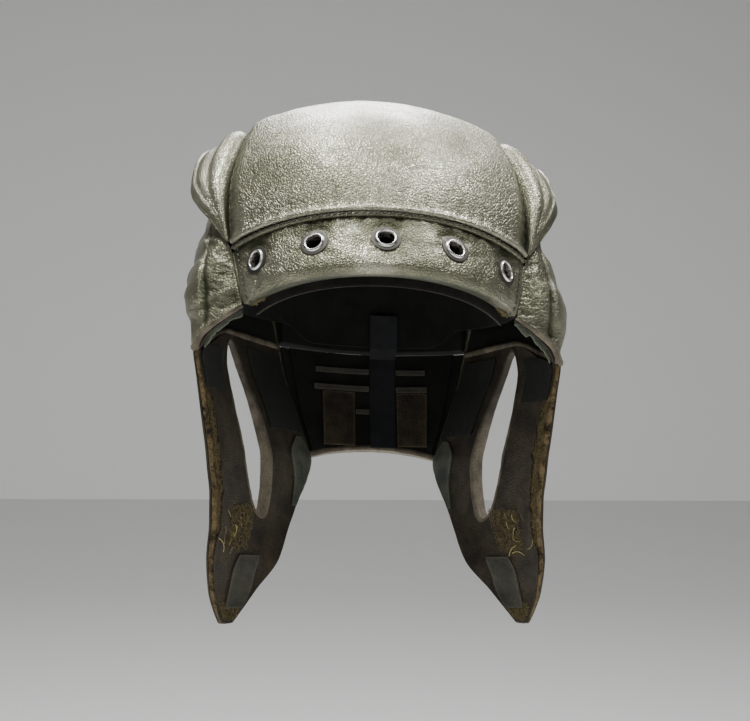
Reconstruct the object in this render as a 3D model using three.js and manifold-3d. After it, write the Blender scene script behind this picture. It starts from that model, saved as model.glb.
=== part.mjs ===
// Tank crew helmet: a padded leather crown with side rolls, a brow band with five eyelets,
// bulging side panels, and long pointed ear flaps that hang below the rim.
// Millimetres, +Z up, the wearer faces -Y. Heights are counted from the top of the ear flaps,
// and the finished group is set down so that its origin is where the head bears on the crown.
import * as THREE from 'three';
import { mergeVertices } from 'three/addons/utils/BufferGeometryUtils.js';
import Module from 'manifold-3d';

const wasm = await Module();
wasm.setup();

// Driving sizes
const GAP = 0.35;
const HEAD = { halfWidth: 84, halfLength: 97, height: 144 };
const SQUARER = { from: 60, to: 120, power: 3.5 };
const HEART = new THREE.Vector3(0, 0, 40);
const FAR = 200;
const SEARCH_STEPS = 30;
const CREASE = { from: 0.84, sharpness: 1.6 };
const ROLL_SHAPE = { lean: 0.58, fullness: 0.8, dipWidth: 0.11, lip: 5, fullChord: 25 };
const ROLL_PLACES = [0, 0.11, 0.22, 0.33, 0.43, 0.53, 0.63, 0.75, 0.88, 1];
const CROWN_CLOTH = 2;
const LINING_INSET = 0.9;
const BAND_REACH = 0.985;
const BAND_HOLE = { radius: 5.3, recess: 8.6, sunk: 1.6 };
const EYELET = {
  bore: 4.4, crest: 5.5, barrel: 4.9, shoulder: 6.2, flange: 8,
  thickness: 0.6, bead: 1.3, length: 3.6, step: 0.405, rise: 0.66,
};
const PIPING = { radius: 1.6, reach: 0.97, proud: 0.4, points: 24, steps: 24 };
const ROUND_SIDES = 12;
const PANEL_WALL = 3.2;
const LEATHER = 1.8;
const PADDING = 2.6;
const LINING = 1.2;
const PATCH = 0.8;
const PATCH_LIFT = 0.25;
const NECK_WALL = 3;
const RIM = { width: 2.6, proud: 0.5, rounding: 0.8, points: 20 };
const OPENING = { top: 9.2, bottom: -88, centreY: 11.5, halfY: 14.5, blunt: 0.5, cut: [8, -16] };
const HEM_HEIGHT = 3;
const NECK_SHARE = { lining: 0.9, hem: 0.97, inside: 0.92 };
const STRAP = { from: -0.4, to: 16, bottom: -46, turn: 10, seat: 16.5, top: 37, lift: 2, thickness: 1.1 };
const LEAN = 0.036;
const TWIST = 5;

function table(columns, rows) {
  const names = columns.split(' ');
  return rows.map((row) => Object.fromEntries(names.map((name, i) => [name, row[i]])));
}

// Crown, from the brow seam over the top to the nape: its middle line, its edge, and how deep
// the crease beside the side roll is.
const CROWN = table('midY midZ edgeX edgeY edgeZ crease', [
  [-90.3, 72.4, 81.2, -47.2, 57.4, 1.5],
  [-84, 88, 82.5, -43, 73, 2.5],
  [-70, 111, 82, -36, 90, 3.5],
  [-48, 132, 78.5, -26, 107, 4],
  [-15, 147, 72.5, -10, 125, 4],
  [20, 148.5, 70, 18, 129, 4],
  [50, 136, 70, 42, 115, 4],
  [77, 103, 72, 64, 92, 3.5],
  [95, 66, 67, 76, 62, 2],
  [102, 35, 61, 78.5, 36, 1],
  [103, 14, 58.2, 79.8, 15, 0.5],
]);

// Side roll: its lip and the seat under the lip, and how it swells and dips between.
const ROLL = table('lipX lipY lipZ seatX seatY seatZ swell dip dipAt', [
  [86.2, -44.4, 60.6, 84.8, -43.6, 57.6, 1.6, 0, 0.5],
  [92, -41, 70, 88, -39, 67.8, 4, 0.5, 0.5],
  [98.5, -31, 81, 90.3, -28, 76.3, 6.5, 2, 0.5],
  [103, -17, 93, 92.3, -14, 80.5, 6.5, 3.5, 0.5],
  [102, -2, 106, 93.5, 2, 82.5, 5.5, 3.2, 0.5],
  [97.3, 12.2, 116.2, 93, 22, 84, 6, 3.2, 0.54],
  [91, 28, 122, 88, 42, 81.5, 6, 3, 0.55],
  [84, 52, 106, 79.5, 59, 73, 5, 1.5, 0.55],
  [72.6, 72.6, 66.4, 71, 71.6, 62.8, 1.6, 0, 0.5],
]);

// Brow band, from its turned-under lower edge up to the seam.
const BAND = table('midY midZ edgeX edgeY edgeZ', [
  [-100.5, 34, 71.5, -55.5, 21],
  [-104, 34.6, 73.6, -57.2, 21.8],
  [-106.3, 40, 75.6, -57.6, 27],
  [-101.5, 51.5, 77.8, -54.8, 37],
  [-95.4, 61.5, 79.6, -50.8, 46],
  [-91.4, 68.2, 80.4, -48.6, 52.2],
]);

// Side panel, from the brow band back to the crown's rear edge: where it hangs from, its hem,
// how far it bulges, and which way it faces in plan (degrees from +X).
const SIDE = table('topX topY topZ hemX hemY hemZ bulge face', [
  [81.2, -46.2, 52.5, 75.2, -56, 22, 0.8, -55],
  [86.5, -39, 65.6, 86.5, -54, 14.6, 3.8, -50],
  [90, -27.5, 74.2, 98, -46.5, 6, 7, -30],
  [92, -14, 78.4, 102.3, -39.7, -1.4, 8.3, -12],
  [93.2, 2, 80.4, 96, -18, 5.2, 11, 0],
  [92.5, 24, 81.8, 84, 14, 13.3, 10.5, 20],
  [84, 50, 74.5, 71.4, 46, 13.4, 6.5, 40],
  [67.9, 74.2, 60.2, 60, 77.4, 13.4, 0.3, 55],
]);
const SIDE_PROFILE = table('at out', [
  [0, 0],
  [0.3, 0.6],
  [0.62, 1],
  [0.85, 0.4],
  [1, 0],
]);

// Ear flap: its front and rear edges at falling heights, and how far it bows outwards.
const FLAP = table('z frontX frontY rearX rearY bow', [
  [15, 101.5, -37.5, 60.4, 79, 1],
  [-1, 102, -40, 57, 78.2, 1],
  [-18, 100, -39, 52, 76.5, 0.5],
  [-45, 96.5, -38, 44.6, 73, 0],
  [-54, 95.2, -37, 42, 71.4, 0],
  [-66, 94, -36, 44.5, 62, 0.5],
  [-80, 92.6, -34, 49.3, 47, 1.5],
  [-94, 92.6, -31.5, 53, 32, 2.5],
  [-113, 94, -28, 57.7, 12, 4],
  [-130, 93, -20, 70, 0, 3],
  [-141, 90.2, -14.5, 77, -6.5, 1.5],
  [-149, 87, -11, 82.5, -9, 0.3],
]);
const FLAP_TOP = { front: -2, back: 12.6, rise: 0.4 };
const FLAP_TIP = -149;

// Neck panel, from the crown's lower edge down to the nape hem.
const NECK = table('midY midZ edgeX edgeY edgeZ', [
  [102.6, 12.8, 57.2, 80.4, 13.6],
  [97, -20, 50, 77.6, -22],
  [88.5, -47, 40.4, 73.2, -53.6],
]);

// Inside of the back: each piece's sides across and its heights.
const INSIDE = table('name left right bottom top', [
  ['nape_patch_right', -32.3, -10.4, -45, -11],
  ['nape_patch_left', 17, 37.5, -45, -11],
  ['tape_lower_right', -38.5, -1, -10.4, -7],
  ['tape_lower_left', 16.6, 37.5, -10.4, -7],
  ['tape_upper_right', -37, -1, 0.5, 3.6],
  ['tape_upper_left', 16.6, 36, 0.5, 3.6],
  ['tape_short', -9.6, -1, -25, -22],
]);

// Smooth value of a named column at a place given in steps of rows, without overshoot.
function along(rows, column, at) {
  const last = rows.length - 1;
  const place = THREE.MathUtils.clamp(at, 0, last);
  const i = Math.min(Math.floor(place), last - 1);
  const value = (k) => rows[THREE.MathUtils.clamp(k, 0, last)][column];
  const rise = (k) => value(k + 1) - value(k);
  const slope = (k) => {
    const before = k > 0 ? rise(k - 1) : rise(k);
    const after = k < last ? rise(k) : rise(k - 1);
    return before * after > 0 ? (2 * before * after) / (before + after) : 0;
  };
  const t = place - i;
  const step = value(i + 1) - value(i);
  const bend = t * (1 - t);
  return value(i) + step * t * t * (3 - 2 * t) + bend * ((1 - t) * slope(i) - t * slope(i + 1));
}

// The row place where a falling or rising column has a given value.
function placeOf(rows, column, value) {
  const falls = rows[0][column] > rows[rows.length - 1][column];
  let low = 0;
  let high = rows.length - 1;
  for (let i = 0; i < SEARCH_STEPS; i++) {
    const middle = (low + high) / 2;
    const before = falls ? along(rows, column, middle) > value : along(rows, column, middle) < value;
    if (before) low = middle;
    else high = middle;
  }
  return (low + high) / 2;
}

// The head form that the padding is quilted to: an ovoid that grows squarer towards the top.
function headPower(z) {
  return 2 + (SQUARER.power - 2) * THREE.MathUtils.smoothstep(z, SQUARER.from, SQUARER.to);
}

function headValue(point, inset) {
  const power = headPower(point.z);
  const long = Math.hypot(point.y / (HEAD.halfLength - inset), point.z / (HEAD.height - inset));
  return long ** power + Math.abs(point.x / (HEAD.halfWidth - inset)) ** power;
}

function onHead(point, inset, from = HEART) {
  let low = 0;
  let high = 1.3;
  const probe = new THREE.Vector3();
  for (let i = 0; i < SEARCH_STEPS; i++) {
    const middle = (low + high) / 2;
    probe.lerpVectors(from, point, middle);
    if (headValue(probe, inset) < 1) low = middle;
    else high = middle;
  }
  return probe.clone();
}

function acrossToHead(point, inset) {
  return onHead(point, inset, new THREE.Vector3(0, point.y, point.z));
}

// A point on the arc from the left edge (-1) over the middle (0) to the right edge (1).
function hoop(rows, place, across, lift = 0) {
  const mid = new THREE.Vector3(0, along(rows, 'midY', place), along(rows, 'midZ', place));
  const edge = new THREE.Vector3(
    along(rows, 'edgeX', place), along(rows, 'edgeY', place), along(rows, 'edgeZ', place));
  if (lift) edge.addScaledVector(edge.clone().sub(HEART).normalize(), lift);
  const drop = Math.hypot(edge.y - mid.y, edge.z - mid.z);
  const bend = 2 * Math.atan2(drop, edge.x);
  const part = (1 - Math.cos(bend * across)) / (1 - Math.cos(bend));
  return new THREE.Vector3(
    edge.x * Math.sin(bend * across) / Math.sin(bend),
    mid.y + (edge.y - mid.y) * part,
    mid.z + (edge.z - mid.z) * part);
}

function crownSurface(across, place) {
  const crease = along(CROWN, 'crease', place);
  const point = hoop(CROWN, place, across, crease);
  const fall = THREE.MathUtils.smoothstep(Math.abs(across), CREASE.from, 1) ** CREASE.sharpness;
  return point.addScaledVector(point.clone().sub(HEART).normalize(), -crease * fall);
}

function sideSurface(station, down) {
  const value = (column) => along(SIDE, column, station);
  const top = new THREE.Vector3(value('topX'), value('topY'), value('topZ'));
  const hem = new THREE.Vector3(value('hemX'), value('hemY'), value('hemZ'));
  const face = THREE.MathUtils.degToRad(value('face'));
  const out = value('bulge') * along(SIDE_PROFILE, 'out', placeOf(SIDE_PROFILE, 'at', down));
  return top.lerp(hem, down).add(new THREE.Vector3(Math.cos(face) * out, Math.sin(face) * out, 0));
}

function flapSurface(back, z) {
  const place = placeOf(FLAP, 'z', z);
  const value = (column) => along(FLAP, column, place);
  const front = new THREE.Vector3(value('frontX'), value('frontY'), z);
  const rear = new THREE.Vector3(value('rearX'), value('rearY'), z);
  const run = rear.clone().sub(front).normalize();
  const bow = value('bow') * 4 * back * (1 - back);
  return front.lerp(rear, back).add(new THREE.Vector3(run.y * bow, -run.x * bow, 0));
}

function neckSurface(across, down) {
  return hoop(NECK, down * (NECK.length - 1), across);
}

// The surface's outward direction, by small steps along it.
function outward(surface, a, b) {
  const step = 0.004;
  const alongA = surface(a + step, b).sub(surface(a - step, b));
  const alongB = surface(a, b + step).sub(surface(a, b - step));
  const normal = alongA.cross(alongB).normalize();
  const point = surface(a, b);
  const away = new THREE.Vector3(point.x, point.y, 0);
  return normal.dot(away) < 0 ? normal.negate() : normal;
}

function range(from, to, count) {
  return Array.from({ length: count + 1 }, (_, i) => from + (to - from) * i / count);
}

// A closed body from shared points and triangles, turned so that its faces point out.
function body(points, faces) {
  let volume = 0;
  for (let i = 0; i < faces.length; i += 3) {
    const [a, b, c] = [points[faces[i]], points[faces[i + 1]], points[faces[i + 2]]];
    volume += a.dot(b.clone().cross(c));
  }
  const turned = volume > 0 ? faces : faces.slice().reverse();
  const geometry = new THREE.BufferGeometry();
  geometry.setAttribute('position',
    new THREE.Float32BufferAttribute(points.flatMap((p) => [p.x, p.y, p.z]), 3));
  geometry.setIndex(turned);
  return geometry;
}

// A wall between an outer and an inner grid of points with the same rows and columns.
function wall(outer, inner) {
  const rows = outer.length;
  const columns = outer[0].length;
  const at = (side, row, column) => (side * rows + row) * columns + column;
  const faces = [];
  const quad = (a, b, c, d) => faces.push(a, b, c, a, c, d);
  for (let r = 0; r < rows - 1; r++) {
    for (let c = 0; c < columns - 1; c++) {
      quad(at(0, r, c), at(0, r, c + 1), at(0, r + 1, c + 1), at(0, r + 1, c));
      quad(at(1, r, c), at(1, r + 1, c), at(1, r + 1, c + 1), at(1, r, c + 1));
    }
    const end = columns - 1;
    quad(at(0, r, 0), at(0, r + 1, 0), at(1, r + 1, 0), at(1, r, 0));
    quad(at(0, r + 1, end), at(0, r, end), at(1, r, end), at(1, r + 1, end));
  }
  for (let c = 0; c < columns - 1; c++) {
    const end = rows - 1;
    quad(at(0, 0, c + 1), at(0, 0, c), at(1, 0, c), at(1, 0, c + 1));
    quad(at(0, end, c), at(0, end, c + 1), at(1, end, c + 1), at(1, end, c));
  }
  return body([...outer.flat(), ...inner.flat()], faces);
}

// A body through a row of closed loops of points, capped at both ends or joined into a ring.
function loft(loops, ring = false) {
  const size = loops[0].length;
  const points = loops.flat();
  const faces = [];
  const spans = ring ? loops.length : loops.length - 1;
  for (let r = 0; r < spans; r++) {
    for (let c = 0; c < size; c++) {
      const here = r * size;
      const next = ((r + 1) % loops.length) * size;
      const d = (c + 1) % size;
      faces.push(here + c, here + d, next + d, here + c, next + d, next + c);
    }
  }
  if (!ring) {
    for (const [loop, turn] of [[0, true], [loops.length - 1, false]]) {
      const centre = loops[loop].reduce((sum, p) => sum.add(p), new THREE.Vector3());
      points.push(centre.divideScalar(size));
      for (let c = 0; c < size; c++) {
        const [a, b] = [loop * size + c, loop * size + (c + 1) % size];
        faces.push(points.length - 1, turn ? b : a, turn ? a : b);
      }
    }
  }
  return body(points, faces);
}

// A piece of a surface between two depths below it. The patch gives the surface's own
// coordinates for a place from 0 to 1 both ways.
function sheet(surface, patch, near, far, across, down) {
  const outer = [];
  const inner = [];
  for (const v of range(0, 1, down)) {
    const places = range(0, 1, across).map((u) => patch(u, v));
    const points = places.map(([a, b]) => [surface(a, b), outward(surface, a, b)]);
    outer.push(points.map(([point, normal]) => point.clone().addScaledVector(normal, -near)));
    inner.push(points.map(([point, normal]) => point.clone().addScaledVector(normal, -far)));
  }
  return wall(outer, inner);
}

// Padding between a surface and the head form.
function padded(surface, patch, across, down) {
  const outer = range(0, 1, down).map((v) => range(0, 1, across).map((u) => surface(...patch(u, v))));
  const inner = outer.map((row) => row.map((point) => onHead(point, -GAP)));
  return wall(outer, inner);
}

function toManifold(geometry) {
  const plain = geometry.clone();
  plain.deleteAttribute('normal');
  plain.deleteAttribute('uv');
  const merged = mergeVertices(plain, 1e-4);
  return new wasm.Manifold(new wasm.Mesh({
    numProp: 3,
    vertProperties: new Float32Array(merged.attributes.position.array),
    triVerts: new Uint32Array(merged.index.array),
  }));
}

function cut(geometry, tools) {
  let solid = toManifold(geometry);
  for (const tool of tools) solid = solid.subtract(toManifold(tool));
  const mesh = solid.getMesh();
  const result = new THREE.BufferGeometry();
  result.setAttribute('position', new THREE.BufferAttribute(mesh.vertProperties, 3));
  result.setIndex(new THREE.BufferAttribute(mesh.triVerts, 1));
  return result;
}

function mirrored(geometry) {
  const copy = geometry.clone();
  copy.scale(-1, 1, 1);
  copy.setIndex([...geometry.index.array].reverse());
  return copy;
}

// Worn leather sits a little askew: the crown leans to its left and the nape is twisted.
function settle(geometry) {
  const place = geometry.attributes.position;
  for (let i = 0; i < place.count; i++) {
    const [x, y, z] = [place.getX(i), place.getY(i), place.getZ(i)];
    place.setX(i, x + TWIST * THREE.MathUtils.smoothstep(y, 0, 90));
    place.setZ(i, z - LEAN * x * THREE.MathUtils.smoothstep(z, -150, -10));
  }
  return geometry;
}

function leather(colour, roughness, metalness = 0) {
  return new THREE.MeshStandardMaterial({ color: colour, roughness, metalness });
}

const SILVER = leather('#a9a898', 0.42, 0.15);
const BROWN = leather('#4a3c28', 0.75);
const CLOTH = leather('#1c211a', 0.95);
const STRAPPING = leather('#24262a', 0.9);
const STUFFING = leather('#8a6f45', 1);
const RIM_LEATHER = leather('#8d8064', 0.7);
const GREEN_GREY = leather('#5a6052', 0.85);
const TAPE = leather('#6e6a58', 0.85);
const NICKEL = leather('#c9c9c4', 0.3, 1);

const helmet = new THREE.Group();
const crownTop = HEAD.height - LINING_INSET - CROWN_CLOTH;
helmet.position.z = -crownTop;

function add(name, geometry, material) {
  const mesh = new THREE.Mesh(settle(geometry), material);
  mesh.name = name;
  helmet.add(mesh);
}

// The right half is modelled on the +X side, which is the wearer's left.
function addPair(name, geometry, material) {
  const other = mirrored(geometry);
  add(`${name}_left`, geometry, material);
  add(`${name}_right`, other, material);
}

// Crown panel
const crownRows = CROWN.length - 1;
add('crown_panel', padded(crownSurface, (u, v) => [2 * u - 1, v * crownRows], 16, 14), SILVER);

// Side rolls
function rollSection(place) {
  const value = (column) => along(ROLL, column, place);
  const back = Math.sign(along(CROWN, 'edgeY', place)) || 1;
  const crease = new THREE.Vector3(
    along(CROWN, 'edgeX', place), along(CROWN, 'edgeY', place), along(CROWN, 'edgeZ', place));
  crease.add(new THREE.Vector3(0.7, -0.7 * back, -0.2));
  const lip = new THREE.Vector3(value('lipX'), value('lipY'), value('lipZ'));
  const seat = new THREE.Vector3(value('seatX'), value('seatY'), value('seatZ'));
  const chord = lip.clone().sub(crease);
  const up = crease.clone().add(lip).multiplyScalar(0.5).sub(HEART);
  up.addScaledVector(chord, -up.dot(chord) / chord.lengthSq()).normalize();
  const outer = ROLL_PLACES.map((w) => {
    const swell = value('swell') * Math.sin(Math.PI * w ** ROLL_SHAPE.lean) ** ROLL_SHAPE.fullness || 0;
    const dip = value('dip') * Math.exp(-(((w - value('dipAt')) / ROLL_SHAPE.dipWidth) ** 2));
    const rise = w === 0 || w === 1 ? 0 : swell - dip;
    return crease.clone().addScaledVector(chord, w).addScaledVector(up, rise);
  });
  const lipDrop = Math.min(1, chord.length() / ROLL_SHAPE.fullChord) * ROLL_SHAPE.lip;
  const under = lip.clone().add(new THREE.Vector3(-0.2 * lipDrop, 0, -lipDrop));
  if (lipDrop < 2) under.lerpVectors(lip, seat, 0.5);
  const hollow = under.clone().lerp(seat, 0.5).add(new THREE.Vector3(0, 0, 0.25 * lipDrop));
  const seatIn = acrossToHead(seat, -GAP);
  const creaseIn = onHead(crease, -GAP);
  const inner = [0.66, 0.33].map((w) => onHead(creaseIn.clone().lerp(seatIn, w), -GAP));
  return [...outer, under, hollow, seat, seatIn, ...inner, creaseIn];
}
const rollEnd = ROLL.length - 1;
addPair('side_pad', loft(range(0, rollEnd, 15).map(rollSection)), SILVER);

// Brow band, its piping and eyelets
const bandSurface = (across, place) => hoop(BAND, place, across);
const bandRows = BAND.length - 1;
const eyeletPlaces = range(-2, 2, 4).map((i) => {
  const spot = [i * EYELET.step, bandRows * EYELET.rise];
  return { centre: bandSurface(...spot), facing: outward(bandSurface, ...spot) };
});

function turnedTo(geometry, place, depth) {
  const turn = new THREE.Quaternion().setFromUnitVectors(new THREE.Vector3(0, 1, 0), place.facing);
  geometry.applyQuaternion(turn);
  const seat = place.centre.clone().addScaledVector(place.facing, -depth);
  return geometry.translate(seat.x, seat.y, seat.z);
}

function drill(place, radius, depth) {
  const tool = new THREE.CylinderGeometry(radius, radius, 2 * depth, ROUND_SIDES);
  return turnedTo(tool, place, 0);
}

const holes = eyeletPlaces.flatMap((place) => [
  drill(place, BAND_HOLE.radius, HEAD.halfLength),
  drill(place, BAND_HOLE.recess, BAND_HOLE.sunk),
]);
const bandGeometry = padded(bandSurface, (u, v) => [(2 * u - 1) * BAND_REACH, v * bandRows], 20, 5);
add('brow_band', cut(bandGeometry, holes), SILVER);

const seamPoints = range(-PIPING.reach, PIPING.reach, PIPING.points).map((across) => {
  const above = crownSurface(across, 0);
  const below = bandSurface(across, bandRows);
  return above.lerp(below, 0.5).addScaledVector(above.clone().sub(HEART).normalize(), PIPING.proud);
});
const roundSection = new THREE.Shape().absarc(0, 0, PIPING.radius, 0, 2 * Math.PI);
add('brow_piping', mergeVertices(new THREE.ExtrudeGeometry(roundSection, {
  steps: PIPING.steps,
  curveSegments: 3,
  bevelEnabled: false,
  extrudePath: new THREE.CatmullRomCurve3(seamPoints),
})), SILVER);

eyeletPlaces.forEach((place, i) => {
  const profile = [
    [EYELET.bore, -EYELET.length],
    [EYELET.barrel, -EYELET.length],
    [EYELET.barrel, 0],
    [EYELET.flange, 0],
    [EYELET.flange, EYELET.thickness],
    [EYELET.shoulder, EYELET.thickness],
    [EYELET.crest, EYELET.bead],
    [EYELET.bore, EYELET.bead],
    [EYELET.bore, -EYELET.length],
  ].map(([radius, height]) => new THREE.Vector2(radius, height));
  const ring = new THREE.LatheGeometry(profile, ROUND_SIDES);
  ring.deleteAttribute('normal');
  ring.deleteAttribute('uv');
  add(`eyelet_${i + 1}`, turnedTo(mergeVertices(ring), place, BAND_HOLE.sunk - GAP), NICKEL);
});

// Sweatband strip and crown lining, both on the head form
function onForm(turn, z, inset) {
  const angle = THREE.MathUtils.degToRad(turn);
  const far = new THREE.Vector3(FAR * Math.sin(angle), -FAR * Math.cos(angle), z);
  return onHead(far, inset, new THREE.Vector3(0, 0, z));
}

const SWEATBAND = { turn: 54, height: 13, middle: 30, fall: 13, thickness: 1.5 };
const sweatGrid = (inset) => range(0, 1, 2).map((v) => range(-1, 1, 16).map((u) => {
  const bottom = SWEATBAND.middle - SWEATBAND.fall * u * u;
  return onForm(u * SWEATBAND.turn, bottom + v * SWEATBAND.height, inset);
}));
const sweatInset = LINING_INSET + CROWN_CLOTH + 2.6 * GAP;
add('sweatband', wall(sweatGrid(sweatInset), sweatGrid(sweatInset + SWEATBAND.thickness)), BROWN);

const LINING_RIM = { front: 40, side: 28, back: 18, turns: 30, rings: 6, crown: 88 };
function liningRings(inset) {
  const top = HEAD.height - inset;
  return range(LINING_RIM.crown, 0, LINING_RIM.rings).map((rise) => (
    range(0, 360, LINING_RIM.turns).slice(0, -1).map((turn) => {
      const facing = Math.cos(THREE.MathUtils.degToRad(turn));
      const frontRise = (LINING_RIM.front - LINING_RIM.side) * THREE.MathUtils.smoothstep(facing, 0.2, 0.9);
      const backDrop = (LINING_RIM.side - LINING_RIM.back) * THREE.MathUtils.smoothstep(-facing, 0.8, 0.93);
      const rim = LINING_RIM.side + frontRise - backDrop;
      return onForm(turn, rim + (top - rim) * Math.sin(THREE.MathUtils.degToRad(rise)), inset);
    })));
}
const liningInner = LINING_INSET + CROWN_CLOTH;
add('crown_lining', loft([...liningRings(LINING_INSET), ...liningRings(liningInner).reverse()]), CLOTH);

// Side panels
addPair('side_panel', sheet(sideSurface, (u, v) => [u * (SIDE.length - 1), v], 0, PANEL_WALL, 14, 8), SILVER);

// Ear opening: its outline on the flap, grown by a margin
function flapBack(y, z) {
  const place = placeOf(FLAP, 'z', z);
  const front = along(FLAP, 'frontY', place);
  return (y - front) / (along(FLAP, 'rearY', place) - front);
}

function openingOutline(margin, count) {
  return range(0, 2 * Math.PI, count).slice(0, -1).map((angle) => {
    const fall = (1 - Math.cos(angle)) / 2;
    const middle = (OPENING.top + OPENING.bottom) / 2;
    const reach = (OPENING.top - OPENING.bottom) / 2 + margin;
    const wide = Math.max(0, Math.sin(Math.PI * fall)) ** OPENING.blunt;
    const side = angle < Math.PI ? 1 : -1;
    const y = OPENING.centreY + side * (OPENING.halfY * wide + margin * Math.abs(Math.sin(angle)));
    const z = middle + reach * Math.cos(angle);
    return [flapBack(y, z), z];
  });
}

function openingTool(margin, count) {
  const places = openingOutline(margin, count);
  const loops = OPENING.cut.map((out) => places.map(([back, z]) => (
    flapSurface(back, z).addScaledVector(outward(flapSurface, back, z), out))));
  return loft(loops);
}

// Layers of the ear flap, from the outside in
const layers = [
  ['ear_flap', SILVER, LEATHER],
  ['flap_padding', STUFFING, PADDING],
  ['flap_lining', BROWN, LINING],
];
const flapCut = openingTool(RIM.width + 1.5 * GAP, RIM.points);
const flapPatch = (u, v) => {
  const rise = THREE.MathUtils.smoothstep(u, 0, FLAP_TOP.rise);
  const top = FLAP_TOP.front + (FLAP_TOP.back - FLAP_TOP.front) * rise;
  return [u, top + (FLAP_TIP - top) * v];
};
let depth = 0;
for (const [name, material, thickness] of layers) {
  const plain = sheet(flapSurface, flapPatch, depth, depth + thickness, 4, 11);
  addPair(name, cut(plain, [flapCut]), material);
  depth += thickness + GAP;
}

// Rolled rim of the ear opening
const rimLoops = openingOutline(0, RIM.points).map(([back, z], i) => {
  const grown = openingOutline(RIM.width, RIM.points)[i];
  const ring = [
    [1, -RIM.proud], [0.35, -RIM.proud], [0, RIM.rounding], [0, depth - GAP - RIM.rounding],
    [0.35, depth + RIM.proud - GAP], [1, depth + RIM.proud - GAP],
  ];
  return ring.map(([grow, deep]) => {
    const b = back + (grown[0] - back) * grow;
    const h = z + (grown[1] - z) * grow;
    return flapSurface(b, h).addScaledVector(outward(flapSurface, b, h), -deep);
  });
});
addPair('ear_rim', loft(rimLoops, true), RIM_LEATHER);

// Patches on the inner face of the flap: heights, and how far back they start and end
const FLAP_PATCHES = [
  ['flap_cloth_front', CLOTH, table('z from to', [
    [3, 0.14, 0.3], [-1, 0.05, 0.28], [-6, 0.02, 0.26], [-14, 0.015, 0.25], [-22, 0.015, 0.245]])],
  ['flap_cloth_rear', CLOTH, table('z from to', [
    [8, 0.6, 0.975], [-8, 0.62, 0.975], [-22, 0.64, 0.975], [-38, 0.65, 0.975]])],
  ['gusset', GREEN_GREY, table('z from to', [
    [-41, 0.88, 0.94], [-52, 0.79, 0.98], [-66, 0.86, 0.985], [-82, 0.95, 0.985]])],
  ['flap_tab', TAPE, table('z from to', [
    [-111, 0.44, 0.73], [-120, 0.39, 0.76], [-130, 0.4, 0.88], [-140, 0.34, 0.94]])],
];
for (const [name, material, rows] of FLAP_PATCHES) {
  const patch = (u, v) => {
    const place = v * (rows.length - 1);
    const [from, to] = [along(rows, 'from', place), along(rows, 'to', place)];
    return [from + (to - from) * u, along(rows, 'z', place)];
  };
  addPair(name, sheet(flapSurface, patch, depth + PATCH_LIFT, depth + PATCH_LIFT + PATCH, 3, 4), material);
}

// Neck panel, its lining, hem and what is sewn inside
const neckDrop = NECK[0].midZ - NECK[NECK.length - 1].midZ;
const hemShare = HEM_HEIGHT / neckDrop;
const neckLining = NECK_WALL + GAP;
const neckLayer = neckLining + PATCH + GAP;
const neckEnd = 1 - hemShare - GAP / neckDrop;
const neckPiece = (near, far) => sheet(neckSurface, (u, v) => [2 * u - 1, v * neckEnd], near, far, 10, 4);
add('neck_panel', neckPiece(0, NECK_WALL), SILVER);
const neckCloth = (u, v) => [(2 * u - 1) * NECK_SHARE.lining, v * neckEnd];
add('neck_lining', sheet(neckSurface, neckCloth, neckLining, neckLining + PATCH, 10, 4), CLOTH);
const hemPatch = (u, v) => [(2 * u - 1) * NECK_SHARE.hem, 1 - hemShare + v * hemShare];
add('nape_hem', sheet(neckSurface, hemPatch, -0.2, neckLining + PATCH, 10, 1), RIM_LEATHER);

// A place on the inside of the back from a distance across and a height
function onNeck(x, z, deep) {
  const acrossAt = (down) => NECK_SHARE.inside * x / along(NECK, 'edgeX', down * (NECK.length - 1));
  let low = 0;
  let high = 1;
  for (let i = 0; i < SEARCH_STEPS; i++) {
    const middle = (low + high) / 2;
    if (neckSurface(acrossAt(middle), middle).z > z) low = middle;
    else high = middle;
  }
  const across = acrossAt(low);
  return neckSurface(across, low).addScaledVector(outward(neckSurface, across, low), -deep);
}

function onLining(x, z, deep) {
  return onHead(new THREE.Vector3(x, FAR, z), liningInner + deep, new THREE.Vector3(x, 0, z));
}

for (const piece of INSIDE) {
  const rows = piece.top - piece.bottom > 10 ? 3 : 1;
  const grid = (deep) => range(piece.top, piece.bottom, rows).map((z) => (
    range(piece.left, piece.right, 4).map((x) => onNeck(x, z, deep))));
  const material = piece.name.startsWith('tape') ? TAPE : BROWN;
  add(piece.name, wall(grid(neckLayer), grid(neckLayer + PATCH)), material);
}

const strapGrid = (deep) => {
  const across = range(STRAP.from, STRAP.to, 3);
  return [
    ...range(STRAP.bottom, STRAP.turn, 6).map((z) => across.map((x) => onNeck(x, z, neckLayer + deep))),
    ...range(STRAP.seat, STRAP.top, 2).map((z) => across.map((x) => onLining(x, z, STRAP.lift + deep))),
  ];
};
add('centre_strap', wall(strapGrid(0), strapGrid(STRAP.thickness)), STRAPPING);

export default helmet;
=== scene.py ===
import math

import bmesh
import bpy
import numpy as np
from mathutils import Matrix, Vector, noise


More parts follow.
